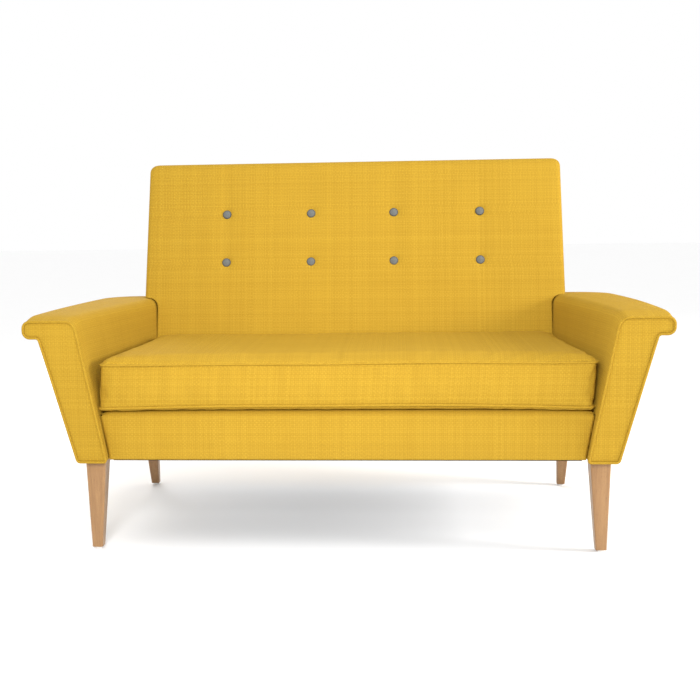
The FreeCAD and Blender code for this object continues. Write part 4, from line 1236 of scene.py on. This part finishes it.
class SOFA_OT_seat_base(SofaOperator, bpy.types.Operator):
    """Cover the front border and the deck under the cushion, and string the springs"""
    bl_idname = "sofa.seat_base"
    bl_label = "Seat base"

    def build(self, sizes, colours):
        border = new_piece("front_border", border_grid(), yellow_cloth(sizes, colours),
                           stands_for=("front_border_cover", "front_border_pad"))
        deck_low = Vector((DECK_LOW.x, DECK_LOW.y, PAD_FOOT))
        patches = sheet_grid(deck_low, DECK_HIGH, 60, 30, 1.0 * MM,
                             lambda depth: between_arms(depth, DECK_HIGH.z, 5 * MM))
        deck = new_piece("deck_lining", patches, lining_cloth(colours),
                         stands_for=("platform_cloth", "platform_pad"))
        steel = metal_material("spring_wire", tuple(colours.steel), 0.4)
        new_piece("zigzag_springs", spring_grids(), steel, stands_for=("seat_springs",))


class SOFA_OT_underside(SofaOperator, bpy.types.Operator):
    """Close the underside with its dust cover and staples"""
    bl_idname = "sofa.underside"
    bl_label = "Underside"

    def build(self, sizes, colours):
        new_piece("dust_cover_cloth", sheet_grid(DUST_LOW, DUST_HIGH, 60, 36, 2.0 * MM),
                  lining_cloth(colours), stands_for=("dust_cover",))
        steel = metal_material("staple_wire", tuple(colours.steel), 0.35)
        new_piece("dust_cover_staples", staple_grids(), steel)


class SOFA_OT_legs(SofaOperator, bpy.types.Operator):
    """Finish the four tapered legs and the glides under them"""
    bl_idname = "sofa.legs"
    bl_label = "Legs"

    def build(self, sizes, colours):
        wood = wood_material("oiled_leg_wood", tuple(colours.leg_wood), tuple(colours.leg_grain),
                             0.42, coat=0.25)
        for word, _ in SIDES:
            finish_nodes(["front_leg_" + word, "rear_leg_" + word], wood)
        finish_nodes(["glides"], plastic_material("glide_nylon", tuple(colours.nylon), 0.4))


class SOFA_OT_inner_frame(SofaOperator, bpy.types.Operator):
    """Finish the wood, webbing and metal inside the upholstery"""
    bl_idname = "sofa.inner_frame"
    bl_label = "Inner frame"

    def build(self, sizes, colours):
        wood = tuple(colours.frame_wood)
        sawn = wood_material("sawn_frame_wood", wood, scaled(wood, 0.7), 0.75)
        ply = wood_material("arm_board_ply", scaled(wood, 1.15), scaled(wood, 0.85), 0.7,
                            grain=0.7)
        web = cloth_material("jute_webbing", tuple(colours.webbing), scaled(colours.webbing, 1.5),
                             2.0 * MM, on_node=True)
        steel = metal_material("zinc_hardware", tuple(colours.steel), 0.4)
        toggle = plastic_material("dark_toggle", (0.05, 0.05, 0.05), 0.5)
        finish_by_slot = {"frame_wood": sawn, "frame_ply": ply, "webbing": web, "twine": web,
                          "toggle_plastic": toggle, "spring_steel": steel}
        for part in frame["record"]["subparts"]:
            name, slot = part["node"], part["material_slot"]
            if slot in finish_by_slot and not frame["nodes"][name].hide_render:
                finish_nodes([name], finish_by_slot[slot])


def area_light(name, place, target, size, power, spread=180):
    """A soft square light that points at a target, and shines within a spread in degrees."""
    data = bpy.data.lights.new(name, "AREA")
    data.shape = "SQUARE"
    data.size = size
    data.energy = power
    data.spread = math.radians(spread)
    light = bpy.data.objects.new(name, data)
    bpy.context.scene.collection.objects.link(light)
    light.visible_camera = False
    light.location = place
    light.rotation_mode = "QUATERNION"
    light.rotation_quaternion = (Vector(target) - Vector(place)).to_track_quat("-Z", "Y")


class SOFA_OT_studio(SofaOperator, bpy.types.Operator):
    """Set the floor, the lights and the camera"""
    bl_idname = "sofa.studio"
    bl_label = "Studio"

    def build(self, sizes, colours):
        scene = bpy.context.scene
        self.make_floor(scene)
        self.make_lights(scene)
        self.make_camera(scene)

    def make_floor(self, scene):
        """A wide, flat, pale floor."""
        mesh = bpy.data.meshes.new("studio_floor")
        corners = ((-1, -1), (1, -1), (1, 1), (-1, 1))
        mesh.from_pydata([(a * FLOOR_HALF, b * FLOOR_HALF, 0) for a, b in corners], [],
                         [(0, 1, 2, 3)])
        floor = bpy.data.objects.new("studio_floor", mesh)
        scene.collection.objects.link(floor)
        shader = Shader("studio_floor_white")
        tone = shader.noise(shader.place(), 3.0, 2.0)
        colour = shader.mix_colour(tone, (0.96, 0.96, 0.96), (0.98, 0.98, 0.98))
        mesh.materials.append(shader.finish(Base_Color=colour, Roughness=0.9,
                                            Specular_IOR_Level=0.1))

    def make_lights(self, scene):
        """White surroundings, a key in front, a light on the right and a fill behind."""
        world = bpy.data.worlds.new("studio")
        scene.world = world
        world.use_nodes = True
        background = world.node_tree.nodes["Background"]
        background.inputs["Color"].default_value = (1.0, 1.0, 1.0, 1.0)
        background.inputs["Strength"].default_value = 1.0
        area_light("key", (-0.2, -2.9, 1.45), (0.0, 0.0, 0.62), 0.8, 14.0, spread=68)
        area_light("side", (3.0, -0.6, 1.35), (-0.6, -0.1, 0.45), 0.8, 75.0)
        area_light("rear_fill", (-1.6, 3.2, 2.2), (0.0, 0.0, 0.45), 2.0, 60.0)
        scene.view_settings.view_transform = "Standard"

    def make_camera(self, scene):
        """Long lens at sitting eye height, turned a little to the left and tilted down."""
        yaw, pitch, roll = (math.radians(angle) for angle in CAMERA_TURN)
        forward = Vector((math.sin(yaw) * math.cos(pitch), math.cos(yaw) * math.cos(pitch),
                          -math.sin(pitch)))
        right = Vector((math.cos(yaw), -math.sin(yaw), 0.0))
        up = right.cross(forward)
        right, up = (math.cos(roll) * right + math.sin(roll) * up,
                     math.cos(roll) * up - math.sin(roll) * right)
        data = bpy.data.cameras.new("camera")
        data.sensor_width = 36.0
        data.lens = CAMERA_LENS
        data.shift_x, data.shift_y = CAMERA_SHIFT
        camera = bpy.data.objects.new("camera", data)
        scene.collection.objects.link(camera)
        turn = Matrix((right, up, -forward)).transposed().to_4x4()
        camera.matrix_world = Matrix.Translation(CAMERA_PLACE) @ turn
        scene.camera = camera


# ---------------------------------------------------------------- panel and registration
OPERATORS = (SOFA_OT_arms, SOFA_OT_back, SOFA_OT_buttons, SOFA_OT_cushion, SOFA_OT_zip,
             SOFA_OT_seat_base, SOFA_OT_underside, SOFA_OT_legs, SOFA_OT_inner_frame,
             SOFA_OT_studio)


class SOFA_PT_panel(bpy.types.Panel):
    """Sizes, colours and pieces of the sofa"""
    bl_idname = "SOFA_PT_panel"
    bl_label = "Sofa"
    bl_space_type = "VIEW_3D"
    bl_region_type = "UI"
    bl_category = "Sofa"

    def draw(self, context):
        layout = self.layout
        for group in (context.scene.sofa_sizes, context.scene.sofa_colours):
            column = layout.column()
            for name in type(group).__annotations__:
                column.prop(group, name)
        for operator in OPERATORS:
            layout.operator(operator.bl_idname)


CLASSES = (SofaSizes, SofaColours) + OPERATORS + (SOFA_PT_panel,)


def register():
    for cls in CLASSES:
        bpy.utils.register_class(cls)
    bpy.types.Scene.sofa_sizes = PointerProperty(type=SofaSizes)
    bpy.types.Scene.sofa_colours = PointerProperty(type=SofaColours)


def unregister():
    del bpy.types.Scene.sofa_colours
    del bpy.types.Scene.sofa_sizes
    for cls in reversed(CLASSES):
        bpy.utils.unregister_class(cls)


def main():
    register()
    for operator in OPERATORS:
        group, name = operator.bl_idname.split(".")
        getattr(getattr(bpy.ops, group), name)()


if __name__ == "__main__":
    main()
